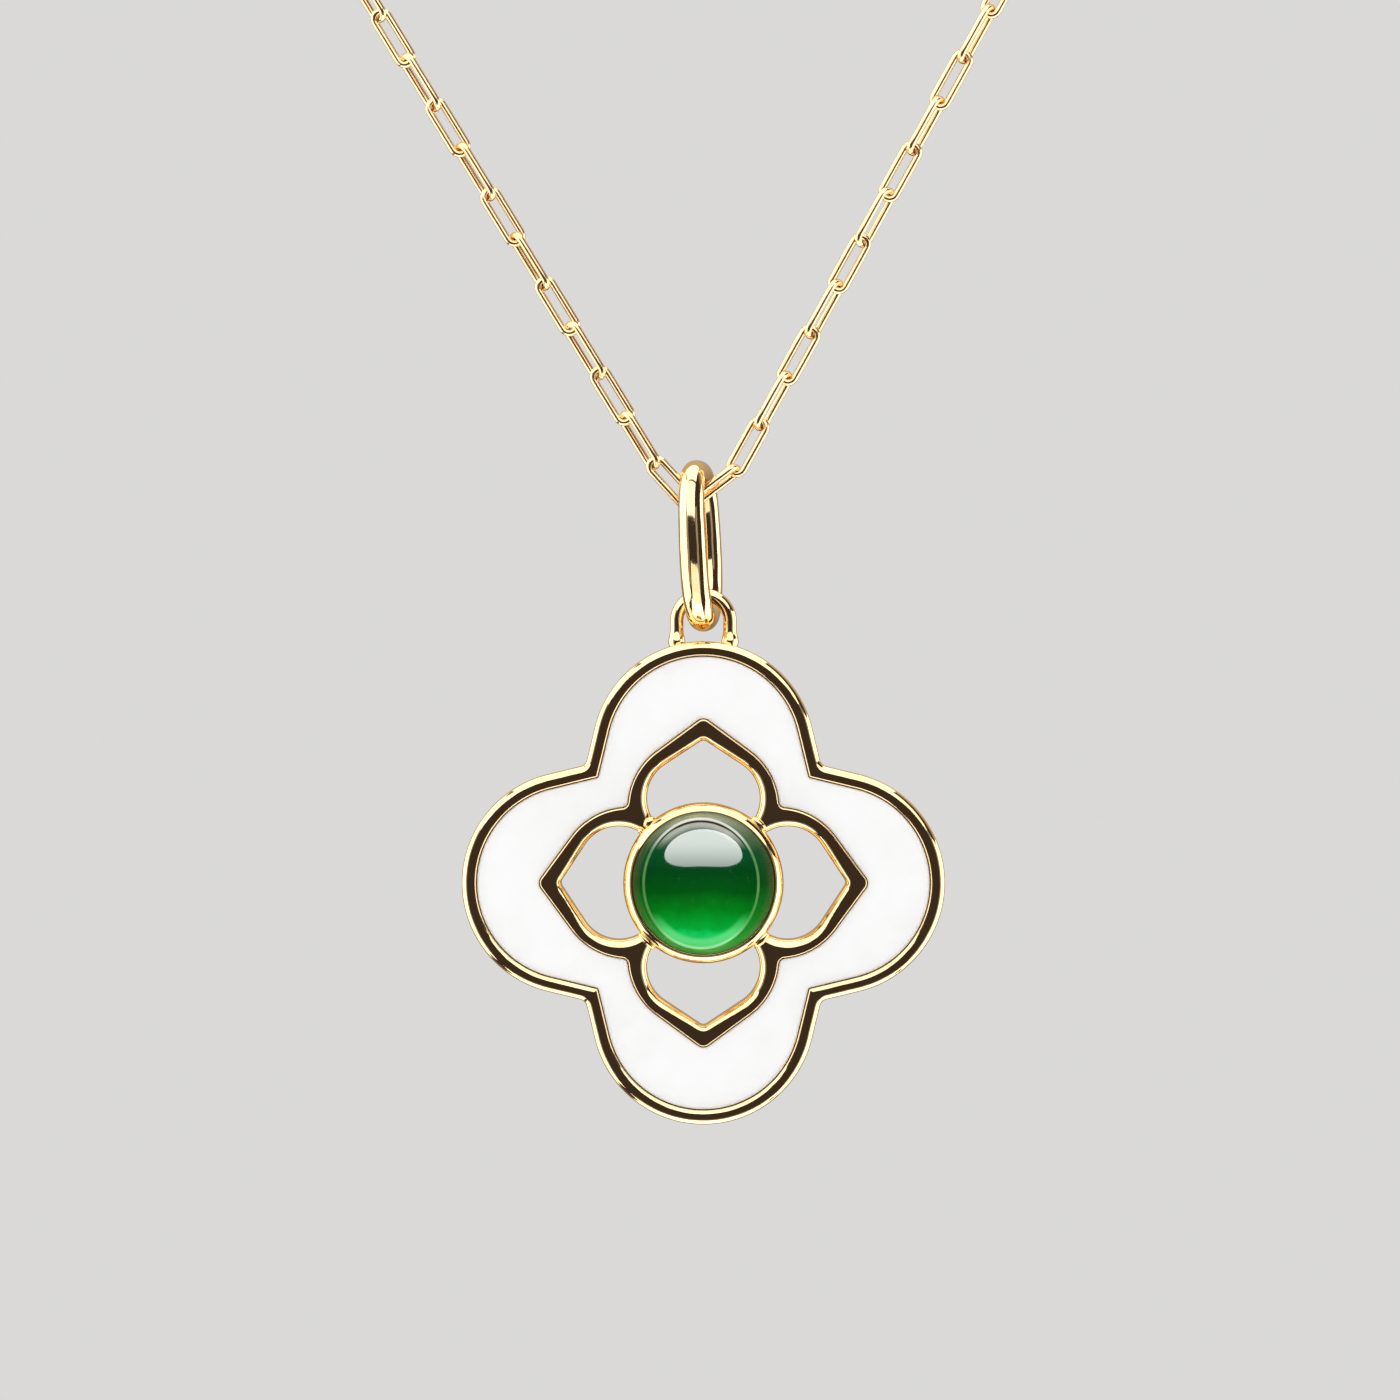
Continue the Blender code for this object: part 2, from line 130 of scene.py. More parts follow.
class Recipe:
    """The nodes of one finish, or of the world behind it."""

    def __init__(self, tree: bpy.types.NodeTree) -> None:
        """Start from an empty node tree."""
        self.tree = tree
        self.tree.nodes.clear()

    def node(self, kind: str, settings: Optional[dict] = None, sockets: Optional[dict] = None,
             output: Union[int, str] = 0) -> Field:
        """Add a node.

        Args:
            kind: The node's type.
            settings: Its properties, or the stops of its ramp as (place, colour) pairs.
            sockets: Values or links of its inputs by name or number.
            output: The output that is handed back.

        Returns:
            The output as a field.
        """
        made = self.tree.nodes.new(kind)
        for name, value in (settings or {}).items():
            if name == "stops":
                self._set_stops(made.color_ramp, value)
            else:
                setattr(made, name, value)
        for name, value in (sockets or {}).items():
            if isinstance(value, Field):
                self.tree.links.new(value.socket, made.inputs[name])
            else:
                made.inputs[name].default_value = value
        return Field(self, made.outputs[output] if made.outputs else None)

    @staticmethod
    def _set_stops(ramp: bpy.types.ColorRamp, stops: list) -> None:
        """Give a ramp its stops.

        Args:
            ramp: The node's ramp.
            stops: (place, colour) pairs, the lowest first.
        """
        while len(ramp.elements) < len(stops):
            ramp.elements.new(1.0)
        for element, (place, colour) in zip(ramp.elements, stops):
            element.position = place
            element.color = colour

    def blend(self, share: Value, first: Value, second: Value) -> Field:
        """Colour that goes from the first to the second as the share goes from 0 to 1."""
        return self.node("ShaderNodeMix", {"data_type": "RGBA"}, {0: share, 6: first, 7: second}, 2)

    def place(self) -> Field:
        """Where a point lies on the object, in metres."""
        return self.node("ShaderNodeTexCoord", output="Object")

    def axes(self, vector: Field) -> tuple:
        """The x, y and z of a vector."""
        split = self.node("ShaderNodeSeparateXYZ", sockets={0: vector}).socket.node
        return tuple(Field(self, output) for output in split.outputs)

    def noise(self, vector: Field, size: float, detail: float = 3.0, roughness: float = 0.5) -> Field:
        """Cloudy noise from 0 to 1 whose lumps are about a size across."""
        return self.node("ShaderNodeTexNoise", {}, {"Vector": vector, "Scale": 1.0 / size,
                                                    "Detail": detail, "Roughness": roughness})

    def bump(self, height: Field, depth: float, normal: Optional[Field] = None) -> Field:
        """Surface normal tilted by a height field.

        Args:
            height: The field.
            depth: Depth in metres of a rise from 0 to 1.
            normal: The normal that it tilts, where that isn't the surface's own.

        Returns:
            The tilted normal.
        """
        sockets = {"Height": height, "Distance": depth, "Strength": 1.0}
        if normal is not None:
            sockets["Normal"] = normal
        return self.node("ShaderNodeBump", {}, sockets)


def from_screen(shade: tuple) -> tuple:
    """Scene colour of a screen colour given from 0 to 255: each share raised to the power 2.2."""
    return *((part / 255) ** 2.2 for part in shade), 1.0


# Finishes

class Finish:
    """A procedural material, told by what feeds the sockets of its shader."""

    name: str

    def sockets(self, recipe: Recipe) -> dict:
        """What feeds the shader's sockets, by their names."""
        raise NotImplementedError

    def material(self) -> bpy.types.Material:
        """Make the material.

        Returns:
            The material, with its shader and all that feeds it.
        """
        material = bpy.data.materials.new(self.name)
        material.use_nodes = True
        recipe = Recipe(material.node_tree)
        shader = recipe.node("ShaderNodeBsdfPrincipled", {}, self.sockets(recipe))
        recipe.node("ShaderNodeOutputMaterial", {}, {"Surface": shader})
        return material


@dataclass(frozen=True)
class PolishedGold(Finish):
    """Yellow gold with a hand polish: faint clouds of colour, fine wipe marks and soft small dents."""

    name: str
    colour: tuple
    deep: tuple
    roughness: float
    cloud: float
    dents: float
    dent_depth: float
    grain_depth: float
    grain: float = 0.00009
    cloud_share: float = 0.06
    grain_share: float = 0.04

    def sockets(self, recipe: Recipe) -> dict:
        """Feed the metal.

        The colour goes from the main one to the deep one with slow clouds. Roughness is the finish's own
        plus a share of clouds and of the fine grain. The surface dips with wide soft dents and fine grain.

        Args:
            recipe: The finish's nodes.

        Returns:
            What feeds the shader's sockets, by their names.
        """
        place = recipe.place()
        cloud = recipe.noise(place, self.cloud, 4.0, 0.6)
        grain = recipe.noise(place, self.grain, 3.0, 0.6)
        dents = recipe.noise(place, self.dents, 2.0, 0.4)
        rough = self.roughness + (cloud - 0.5) * self.cloud_share + (grain - 0.5) * self.grain_share
        return {"Base Color": recipe.blend(cloud.ease(0.35, 0.75), self.colour, self.deep),
                "Metallic": 1.0, "Roughness": rough,
                "Normal": recipe.bump(grain, self.grain_depth, recipe.bump(dents, self.dent_depth))}


@dataclass(frozen=True)
class WhiteAgate(Finish):
    """Smooth white stone: almost even, with faint milky bands, tiny pits and a soft polish."""

    name: str = "white_agate"
    colour: tuple = (0.76, 0.77, 0.78, 1.0)
    milk: tuple = (0.73, 0.74, 0.745, 1.0)
    roughness: float = 0.3
    band: float = 0.0018
    pit: float = 0.00012
    pit_depth: float = 0.0000012
    band_depth: float = 0.000006
    glow_depth: float = 0.0006

    def sockets(self, recipe: Recipe) -> dict:
        """Feed the stone: milky bands follow slow noise, and pits lie where fine noise is low.

        Args:
            recipe: The finish's nodes.

        Returns:
            What feeds the shader's sockets, by their names.
        """
        place = recipe.place()
        cloud = recipe.noise(place, self.band, 5.0, 0.6)
        fine = recipe.noise(place, self.pit, 3.0, 0.6)
        pits = fine.ease(0.36, 0.28)
        normal = recipe.bump(fine - pits * 0.5, self.pit_depth, recipe.bump(cloud, self.band_depth))
        return {"Base Color": recipe.blend(cloud.ease(0.4, 0.8), self.colour, self.milk),
                "Roughness": self.roughness + (cloud - 0.5) * 0.12 + pits * 0.15, "Normal": normal,
                "IOR": 1.54, "Subsurface Weight": 0.1, "Subsurface Radius": (self.glow_depth,) * 3,
                "Subsurface Scale": 1.0}


@dataclass(frozen=True)
class GreenJadeite(Finish):
    """Translucent green jadeite with faint mottling, whose colour holds painted light and shade: painted
    shade above, painted light through it below, painted reflections and a painted glowing edge.

    The sizes of its oval and its ramp are in millimetres, and its colours are screen colours from 0 to 255.
    Its stops are places on a ramp, upwards over the inner part, and round from the lowest point to the
    highest in the outer one.
    """

    middle: tuple
    name: str = "green_jadeite"
    across: float = 2.14
    aside: float = 0.09
    up: float = 2.41
    ramp_height: float = 3.41
    mottle_size: float = 0.0007
    mottle_depth: float = 0.000004
    speck_size: float = 0.00016
    speck_depth: float = 0.0000004
    roughness: float = 0.05
    dark_line_place: float = 0.964
    # The inner ramp is painted light and shade: bright green low, where light through the stone would come
    # out, darkening to painted shade above.
    inner: tuple = ((0.0, (44, 190, 98)), (0.15, (22, 174, 82)), (0.21, (0, 142, 48)), (0.355, (0, 114, 32)),
                    (0.43, (0, 98, 25)), (0.62, (0, 66, 18)), (0.85, (0, 53, 23)), (1.0, (0, 60, 32)))
    # The outer ramp is painted light below, and a painted grey reflection near the top of the edge.
    outer: tuple = ((0.0, (36, 156, 48)), (0.25, (12, 104, 26)), (0.5, (8, 62, 18)), (0.75, (20, 60, 32)),
                    (0.86, (60, 80, 56)), (1.0, (104, 114, 94)))
    # Colours laid over the base: painted light, painted reflections, painted highlight and painted shade, and
    # the real specks' green.
    lit_crescent_green: tuple = (90, 206, 120)
    reflected_ring_above: tuple = (110, 160, 100)
    reflected_ring_below: tuple = (156, 238, 168)
    reflection_band_grey: tuple = (146, 148, 140)
    dark_line_brown: tuple = (48, 38, 24)
    highlight_arch_grey: tuple = (172, 174, 168)
    edge_shade: tuple = (40, 40, 12)
    speck_green: tuple = (90, 160, 100)

    @staticmethod
    def ramp(recipe: Recipe, stops: tuple, place: Field) -> Field:
        """Colour by its place on a ramp of screen colours."""
        colours = [(stop, from_screen(shade)) for stop, shade in stops]
        return recipe.node("ShaderNodeValToRGB", {"stops": colours}, {0: place})

    def sockets(self, recipe: Recipe) -> dict:
        """Feed the stone.

        Everything is worked out from x and z about its middle. The depth r is the square root of
        ((x + aside) / across) squared plus (z / up) squared, so r is 1 on an oval inside the edge. Inside it
        the colour follows the height, with painted light below and painted shade above, and outside, the
        height over the distance, with painted light below and a painted grey reflection above. Over them lie
        a painted half-moon of light below, a painted ring reflection, a painted highlight along the top with
        a painted dark line and a painted band of reflection under it, the edge's painted shade and fine
        specks. A faint emission makes the stone shine in these painted colours.

        Args:
            recipe: The finish's nodes.

        Returns:
            What feeds the shader's sockets, by their names.
        """
        place = recipe.place()
        x, _, z = recipe.axes(place)
        x = (x - self.middle[0]) / MM
        z = (z - self.middle[2]) / MM
        r = (((x + self.aside) / self.across) ** 2 + (z / self.up) ** 2).root()
        distance = (x * x + z * z).root()
        mottle = recipe.noise(place, self.mottle_size, 4.0, 0.6)
        specks = recipe.noise(place, self.speck_size, 3.0, 0.6)

        def near_oval(at: float, none: float, full: float) -> Field:
            """Rise from 0 to 1 as the square of the distance of r from a value goes from none to full."""
            off = r - at
            return (off * off).ease(none, full)

        # Painted light: a bright half-moon low in the stone, where light through the dome would come out.
        lit_crescent = r.ease(0.82, 0.9) * z.ease(-1.0, -2.1) * (0.65 + 0.5 * mottle)
        # Painted reflection: a pale ring round the dome, where the bezel's seat would show through the stone,
        # brighter below.
        ring = near_oval(1.0, 0.0009, 0.0) * (0.4 + 0.4 * z.ease(-1.2, -2.2)) * z.ease(1.9, 1.2)
        ring = ring * (0.5 + mottle)
        # Painted reflection: a grey band under the top edge, above the lamp's highlight.
        reflection_band = r.ease(0.8, 0.92) * r.ease(0.965, 0.945) * z.ease(1.2, 1.9) * (0.6 + 0.5 * mottle)
        # Painted shade: a dark line below the painted highlight at the top, not a real gap; it also thins the
        # coat there.
        gap = near_oval(self.dark_line_place, 0.0006, 0.0001) * z.ease(1.9, 2.15)
        # Painted highlight: a pale thin line along the top edge of the oval.
        highlight_arch = near_oval(1.0, 0.0006, 0.0001) * z.ease(1.1, 1.9)
        height = z + (mottle - 0.5) * 0.6
        # Base colour: painted light below and painted shade above inside the oval, and painted light and a
        # painted grey reflection outside it.
        inside = self.ramp(recipe, self.inner, (height + self.up) / self.ramp_height)
        inside = recipe.blend(lit_crescent, inside, from_screen(self.lit_crescent_green))
        outside = self.ramp(recipe, self.outer, z / distance * 0.5 + 0.5)
        colour = recipe.blend(r.ease(0.97, 1.03), inside, outside)
        # Colour of the painted ring reflection, brighter below.
        ring_reflection = recipe.blend(z.ease(-1.4, -2.2), from_screen(self.reflected_ring_above), from_screen(self.reflected_ring_below))
        # Lay the painted reflections, the painted highlight, the painted dark line and the edge's painted
        # shade over the base, then the real specks.
        for share, shade in (
            (ring, ring_reflection),
            (reflection_band, from_screen(self.reflection_band_grey)),
            (gap, from_screen(self.dark_line_brown)),
            (highlight_arch, from_screen(self.highlight_arch_grey)),
            (distance.ease(2.55, 2.72), from_screen(self.edge_shade)),
            (specks.ease(0.62, 0.8) * 0.1, from_screen(self.speck_green)),
        ):
            colour = recipe.blend(share, colour, shade)
        edge = r.ease(1.0, 1.1)
        polish = (0.25 + 0.75 * z.ease(0.2, 1.7)) * (1.0 - 0.95 * edge) * (1.0 - 0.8 * gap)
        rough = self.roughness + (specks - 0.5) * 0.04 + edge * 0.3
        normal = recipe.bump(specks, self.speck_depth, recipe.bump(mottle, self.mottle_depth))
        # Emission: the stone shines faintly in its own painted colours, a painted inner light though it is no
        # lamp.
        return {"Base Color": colour, "Roughness": rough, "Normal": normal, "IOR": 1.66,
                "Specular IOR Level": 0.12, "Coat Weight": polish, "Coat Roughness": self.roughness,
                "Coat IOR": 1.9, "Emission Color": colour, "Emission Strength": 0.1}


@dataclass(frozen=True)
class PaleFloor(Finish):
    """Plain pale matt floor with a hardly visible mottling."""

    name: str = "pale_floor"
    colour: tuple = (0.69, 0.69, 0.69, 1.0)
    deep: tuple = (0.66, 0.66, 0.66, 1.0)
    roughness: float = 0.8
    cloud: float = 0.25

    def sockets(self, recipe: Recipe) -> dict:
        """Feed the floor's paint, whose colour follows slow noise."""
        colour = recipe.blend(recipe.noise(recipe.place(), self.cloud), self.colour, self.deep)
        return {"Base Color": colour, "Roughness": self.roughness}


SETTING_GOLD = PolishedGold("setting_gold", (1.0, 0.755, 0.42, 1.0), (0.96, 0.675, 0.33, 1.0), roughness=0.07,
                            cloud=0.0011, dents=0.0009, dent_depth=0.000017, grain_depth=0.0000003)
BAIL_GOLD = replace(SETTING_GOLD, name="bail_gold", roughness=0.08, cloud=0.0012, dents=0.0011,
                    dent_depth=0.000034)
CHAIN_GOLD = PolishedGold("chain_gold", (1.0, 0.73, 0.42, 1.0), (0.96, 0.65, 0.34, 1.0), roughness=0.19,
                          cloud=0.0009, dents=0.0005, dent_depth=0.000003, grain_depth=0.0000001)
CLASP_GOLD = PolishedGold("clasp_gold", (1.0, 0.71, 0.34, 1.0), (0.95, 0.61, 0.26, 1.0), roughness=0.14,
                          cloud=0.002, dents=0.0011, dent_depth=0.000006, grain_depth=0.0000006)


# Surfaces

def surface(name: str, grids: list, rings: list = (), crease: float = 40.0,
            weld: float = 2e-7) -> bpy.types.Object:
    """Make an object from grids of points, shaped rows x columns x 3, whose rows close on themselves.

    Face (i, j) joins the points (i, j), (i, j + 1), (i + 1, j + 1) and (i + 1, j). The grids are welded
    along their seams and poles into closed surfaces.

    Args:
        name: The piece's name.
        grids: The grids whose first and last rows are free.
        rings: The grids whose last row meets their first.
        crease: Edges sharper than this many degrees stay sharp.
        weld: Points nearer than this become one.

    Returns:
        The object, at the origin, with its faces pointing outwards.
    """
    points, faces, count = [], [], 0
    for grid, closed in [(grid, False) for grid in grids] + [(grid, True) for grid in rings]:
        rows, columns = grid.shape[:2]
        i, j = np.meshgrid(np.arange(rows if closed else rows - 1), np.arange(columns), indexing="ij")
        below, beside = (i + 1) % rows * columns, (j + 1) % columns
        corners = [i * columns + j, i * columns + beside, below + beside, below + j]
        points.append(grid.reshape(-1, 3))
        faces.append(np.stack(corners, axis=-1).reshape(-1, 4) + count)
        count += rows * columns
    mesh = bpy.data.meshes.new(name)
    mesh.from_pydata(np.concatenate(points).tolist(), [], np.concatenate(faces).tolist())
    welded = bmesh.new()
    welded.from_mesh(mesh)
    bmesh.ops.remove_doubles(welded, verts=welded.verts, dist=weld)
    bmesh.ops.recalc_face_normals(welded, faces=welded.faces)
    welded.to_mesh(mesh)
    welded.free()
    mesh.shade_smooth()
    mesh.set_sharp_from_angle(angle=math.radians(crease))
    made = bpy.data.objects.new(name, mesh)
    bpy.context.scene.collection.objects.link(made)
    return made


def steps_round(count: int) -> np.ndarray:
    """Angles of points evenly round a circle, in radians."""
    return np.arange(count) * (2 * math.pi / count)


def ways(turn: np.ndarray) -> np.ndarray:
    """(cosine, sine) pairs of angles in radians."""
    return np.stack([np.cos(turn), np.sin(turn)], axis=-1)


def arc(centre: tuple, radius: float, start: float, end: float, steps: int) -> np.ndarray:
    """Points on a circle: centre plus radius times (cosine, sine) of angles from start to end, in radians."""
    return np.asarray(centre) + radius * ways(np.linspace(start, end, steps + 1))


def line(first: np.ndarray, last: np.ndarray, shares: np.ndarray) -> np.ndarray:
    """Points between two ends: first plus each share of the way to the last."""
    return first + (last - first) * np.asarray(shares)[:, None]


def between(count: int) -> np.ndarray:
    """Even shares from 0 to 1 without the two ends."""
    return np.linspace(0.0, 1.0, count + 2)[1:-1]


def quarter(radius: float, steps: int) -> np.ndarray:
    """Rounded edge as (inset, depth) pairs: radius x (1 - sine, 1 - cosine) of angles up to 90 degrees."""
    return radius * (1 - ways(np.linspace(0.0, math.pi / 2, steps + 1))[:, ::-1])


def mirrored(half: np.ndarray) -> np.ndarray:
    """Half an outline and its mirror image, without the point on the axis twice."""
    return np.concatenate([half, half[-2::-1] * (-1, 1)])


def upright(outline: np.ndarray, y: float = 0.0) -> np.ndarray:
    """Stand (x, z) pairs up at one y, as points x, y, z."""
    return np.stack([outline[..., 0], np.full(outline.shape[:-1], y), outline[..., 1]], axis=-1)


def unit(vectors: np.ndarray) -> np.ndarray:
    """Vectors divided by their lengths."""
    return vectors / np.linalg.norm(vectors, axis=-1, keepdims=True)


def lathe(profile: np.ndarray, steps: int) -> np.ndarray:
    """Turn a profile about the Y axis: x = radius x cosine, z = radius x sine.

    Args:
        profile: (radius, y) pairs.
        steps: Number of points round the axis.

    Returns:
        Grid of profile x steps points.
    """
    turn = steps_round(steps)
    radius, along = profile[:, 0, None], profile[:, 1, None]
    return np.stack([radius * np.cos(turn), along + 0 * turn, radius * np.sin(turn)], axis=-1)


def sweep(path: np.ndarray, across: tuple, radius: Union[float, np.ndarray], sides: int,
          closed: bool = True) -> np.ndarray:
    """A round wire along a path.

    Each section is the path's point plus radius x (cosine x outward + sine x across), where outward is the
    cross product of the path's direction and across.

    Args:
        path: Points of the path, n x 3.
        across: Direction square to the path's plane.
        radius: The wire's radius, one for all points or one for each.
        sides: Number of points round the wire.
        closed: Whether the path's last point meets its first.

    Returns:
        Grid of n x sides points.
    """
    ahead = np.roll(path, -1, axis=0) - np.roll(path, 1, axis=0) if closed else np.gradient(path, axis=0)
    outward = unit(np.cross(unit(ahead), across))[:, None]
    turn = steps_round(sides)[:, None]
    size = np.broadcast_to(radius, (len(path),))[:, None, None]
    return path[:, None] + size * (outward * np.cos(turn) + np.array(across) * np.sin(turn))


# Outlines of the quatrefoil as (x, z) pairs about its middle, counter-clockwise as seen from the front

# Shares of the way along a lobe's straight flank at which it has points
FLANK = (0.06, 0.3, 0.7, 0.94)
QUARTER_TURN = math.pi / 2


def turned(outline: np.ndarray, quarters: int) -> np.ndarray:
    """Turn an outline about the middle: a quarter turn takes (x, z) to (-z, x).

    Args:
        outline: (x, z) pairs.
        quarters: How many quarter turns.

    Returns:
        The turned outline.
    """
    for _ in range(quarters):
        outline = outline[:, ::-1] * (-1, 1)
    return outline


@dataclass(frozen=True)
class Quatrefoil:
    """Sizes of the outlines that repeat four times round the pendant's middle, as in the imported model."""

    lobe_distance: float = 0.00486
    lobe_radius: float = 0.00418
    lobe_flare: float = 13.6
    notch_fillet: float = 0.00035
    frame_tip: float = 0.0062
    frame_corner: float = 0.00281
    frame_shoulder: float = 0.00262
    tip_wall: float = 0.00083
    shoulder_wall: float = 0.00069
    petal_rise: float = 0.00035
    petal_shoulder: float = 0.00151
    petal_heel: float = -45.0
    corner_fillet: float = 0.00026
    tip_round: float = 0.00032
    hole_round: float = 0.00022
    notch_steps: int = 7
    lobe_steps: int = 36
    fillet_steps: int = 6
    shoulder_steps: int = 20
    tip_steps: int = 8
    flank_steps: int = 16

    @staticmethod
    def four_fold(half: np.ndarray) -> np.ndarray:
        """Closed outline from half a lobe: the half, its mirror image, and both turned by quarter turns."""
        lobe = mirrored(half)[:-1]
        return np.concatenate([turned(lobe, quarters) for quarters in range(4)])

    @property
    def half_steps(self) -> int:
        """Steps in half a lobe, which all outlines share."""
        return self.notch_steps + len(FLANK) + 1 + self.lobe_steps

    def lobes(self, inset: float, fillet: float) -> np.ndarray:
        """Quatrefoil inside the setting's edge.

        A lobe is an arc about its centre down to its flare, then a straight flank to the notch's fillet.

        Args:
            inset: Distance inside the edge.
            fillet: Radius of the fillets in the notches.

        Returns:
            The closed outline.
        """
        flare = math.radians(self.lobe_flare)
        radius = self.lobe_radius - inset
        corner = (radius + self.lobe_distance * math.sin(flare)) / (math.cos(flare) + math.sin(flare))
        reach = corner + fillet * math.sqrt(0.5) / math.sin(math.pi / 4 + flare)
        notch = arc((reach, reach), fillet, math.pi * 5 / 4, math.pi + flare, self.notch_steps)
        lobe = arc((0.0, self.lobe_distance), radius, flare, QUARTER_TURN, self.lobe_steps)
        return self.four_fold(np.concatenate([notch, line(notch[-1], lobe[0], FLANK), lobe]))

    @staticmethod
    def slope(tip: float, centre: tuple, radius: float) -> float:
        """Slope of the straight line from a tip on the axis that touches a shoulder's circle, in radians."""
        rise = tip - centre[1]
        return math.acos(radius / math.hypot(rise, centre[0])) - math.atan2(centre[0], rise)

    def tip(self, end: float, slope: float, rounding: float, outset: float) -> np.ndarray:
        """Half of a tip's rounding, from the straight line to the axis."""
        top = (0.0, end - rounding / math.cos(slope))
        return arc(top, rounding + outset, QUARTER_TURN - slope, QUARTER_TURN, self.tip_steps)

    def frames(self, outset: float) -> np.ndarray:
        """Outer edge of the four petal frames.

        Half a frame is a fillet out of the corner between two frames, a shoulder's arc, a straight line and
        half of the tip's rounding. The fillet's centre lies on the diagonal, its radius and the shoulder's
        away from the shoulder's centre.

        Args:
            outset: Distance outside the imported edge.

        Returns:
            The closed outline.
        """
        centre = np.array([self.frame_corner - self.frame_shoulder, self.frame_corner])
        slope = self.slope(self.frame_tip, centre, self.frame_shoulder)
        apart = self.frame_shoulder + self.corner_fillet
        aside = (centre[1] - centre[0]) * math.sqrt(0.5)
        reach = centre.sum() / 2 + math.sqrt(0.5) * math.sqrt(apart ** 2 - aside ** 2)
        start = math.asin((reach - centre[1]) / apart)
        fillet = arc((reach, reach), self.corner_fillet - outset, math.pi * 5 / 4, math.pi + start,
                     self.fillet_steps)
        shoulder = arc(centre, self.frame_shoulder + outset, start, QUARTER_TURN - slope, self.shoulder_steps)
        tip = self.tip(self.frame_tip, slope, self.tip_round, outset)
        left = self.half_steps - self.fillet_steps - self.shoulder_steps - self.tip_steps - 1
        straight = line(shoulder[-1], tip[0], between(left))
        return self.four_fold(np.concatenate([fillet, shoulder[1:], straight, tip]))

    def petal(self, outset: float) -> np.ndarray:
        """The upper petal's opening, whose heel lies inside the bezel cup.

        Args:
            outset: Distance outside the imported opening.

        Returns:
            The closed outline.
        """
        half_width = self.frame_corner - self.shoulder_wall
        centre = (half_width - self.petal_shoulder, self.frame_corner + self.petal_rise)
        end = self.frame_tip - self.tip_wall
        slope = self.slope(end, centre, self.petal_shoulder)
        right = arc(centre, self.petal_shoulder + outset, math.radians(self.petal_heel),
                    QUARTER_TURN - slope, self.shoulder_steps * 2)
        tip = self.tip(end, slope, self.hole_round, outset)
        return mirrored(np.concatenate([right, line(right[-1], tip[0], between(self.flank_steps)), tip]))


# The setting and its stones

def meet(outline: np.ndarray, centre: np.ndarray, turn: np.ndarray) -> np.ndarray:
    """Where rays from a centre meet a closed outline round it.

    A ray at an angle meets the side from a to b at a + t (b - a), where t is the cross product of the ray's
    direction with centre - a, divided by its cross product with b - a.

    Args:
        outline: The outline's (x, z) pairs.
        centre: The point inside it that the rays leave.
        turn: The rays' angles, in radians.

    Returns:
        The outline's point on each ray.
    """
    start = np.concatenate([outline, outline[:1]]) - centre
    angle = np.unwrap(np.arctan2(start[:, 1], start[:, 0]))
    wanted = angle[0] + np.mod(turn - angle[0], 2 * math.pi)
    side = np.clip(np.searchsorted(angle, wanted, side="right") - 1, 0, len(outline) - 1)
    near, span, way = start[side], start[side + 1] - start[side], ways(turn)
    aside = way[:, 0] * near[:, 1] - way[:, 1] * near[:, 0]
    share = -aside / (way[:, 0] * span[:, 1] - way[:, 1] * span[:, 0])
    return centre + near + share[:, None] * span


# Width of the strip beside an edge that keeps a flat face flat
HOLD = 0.00002


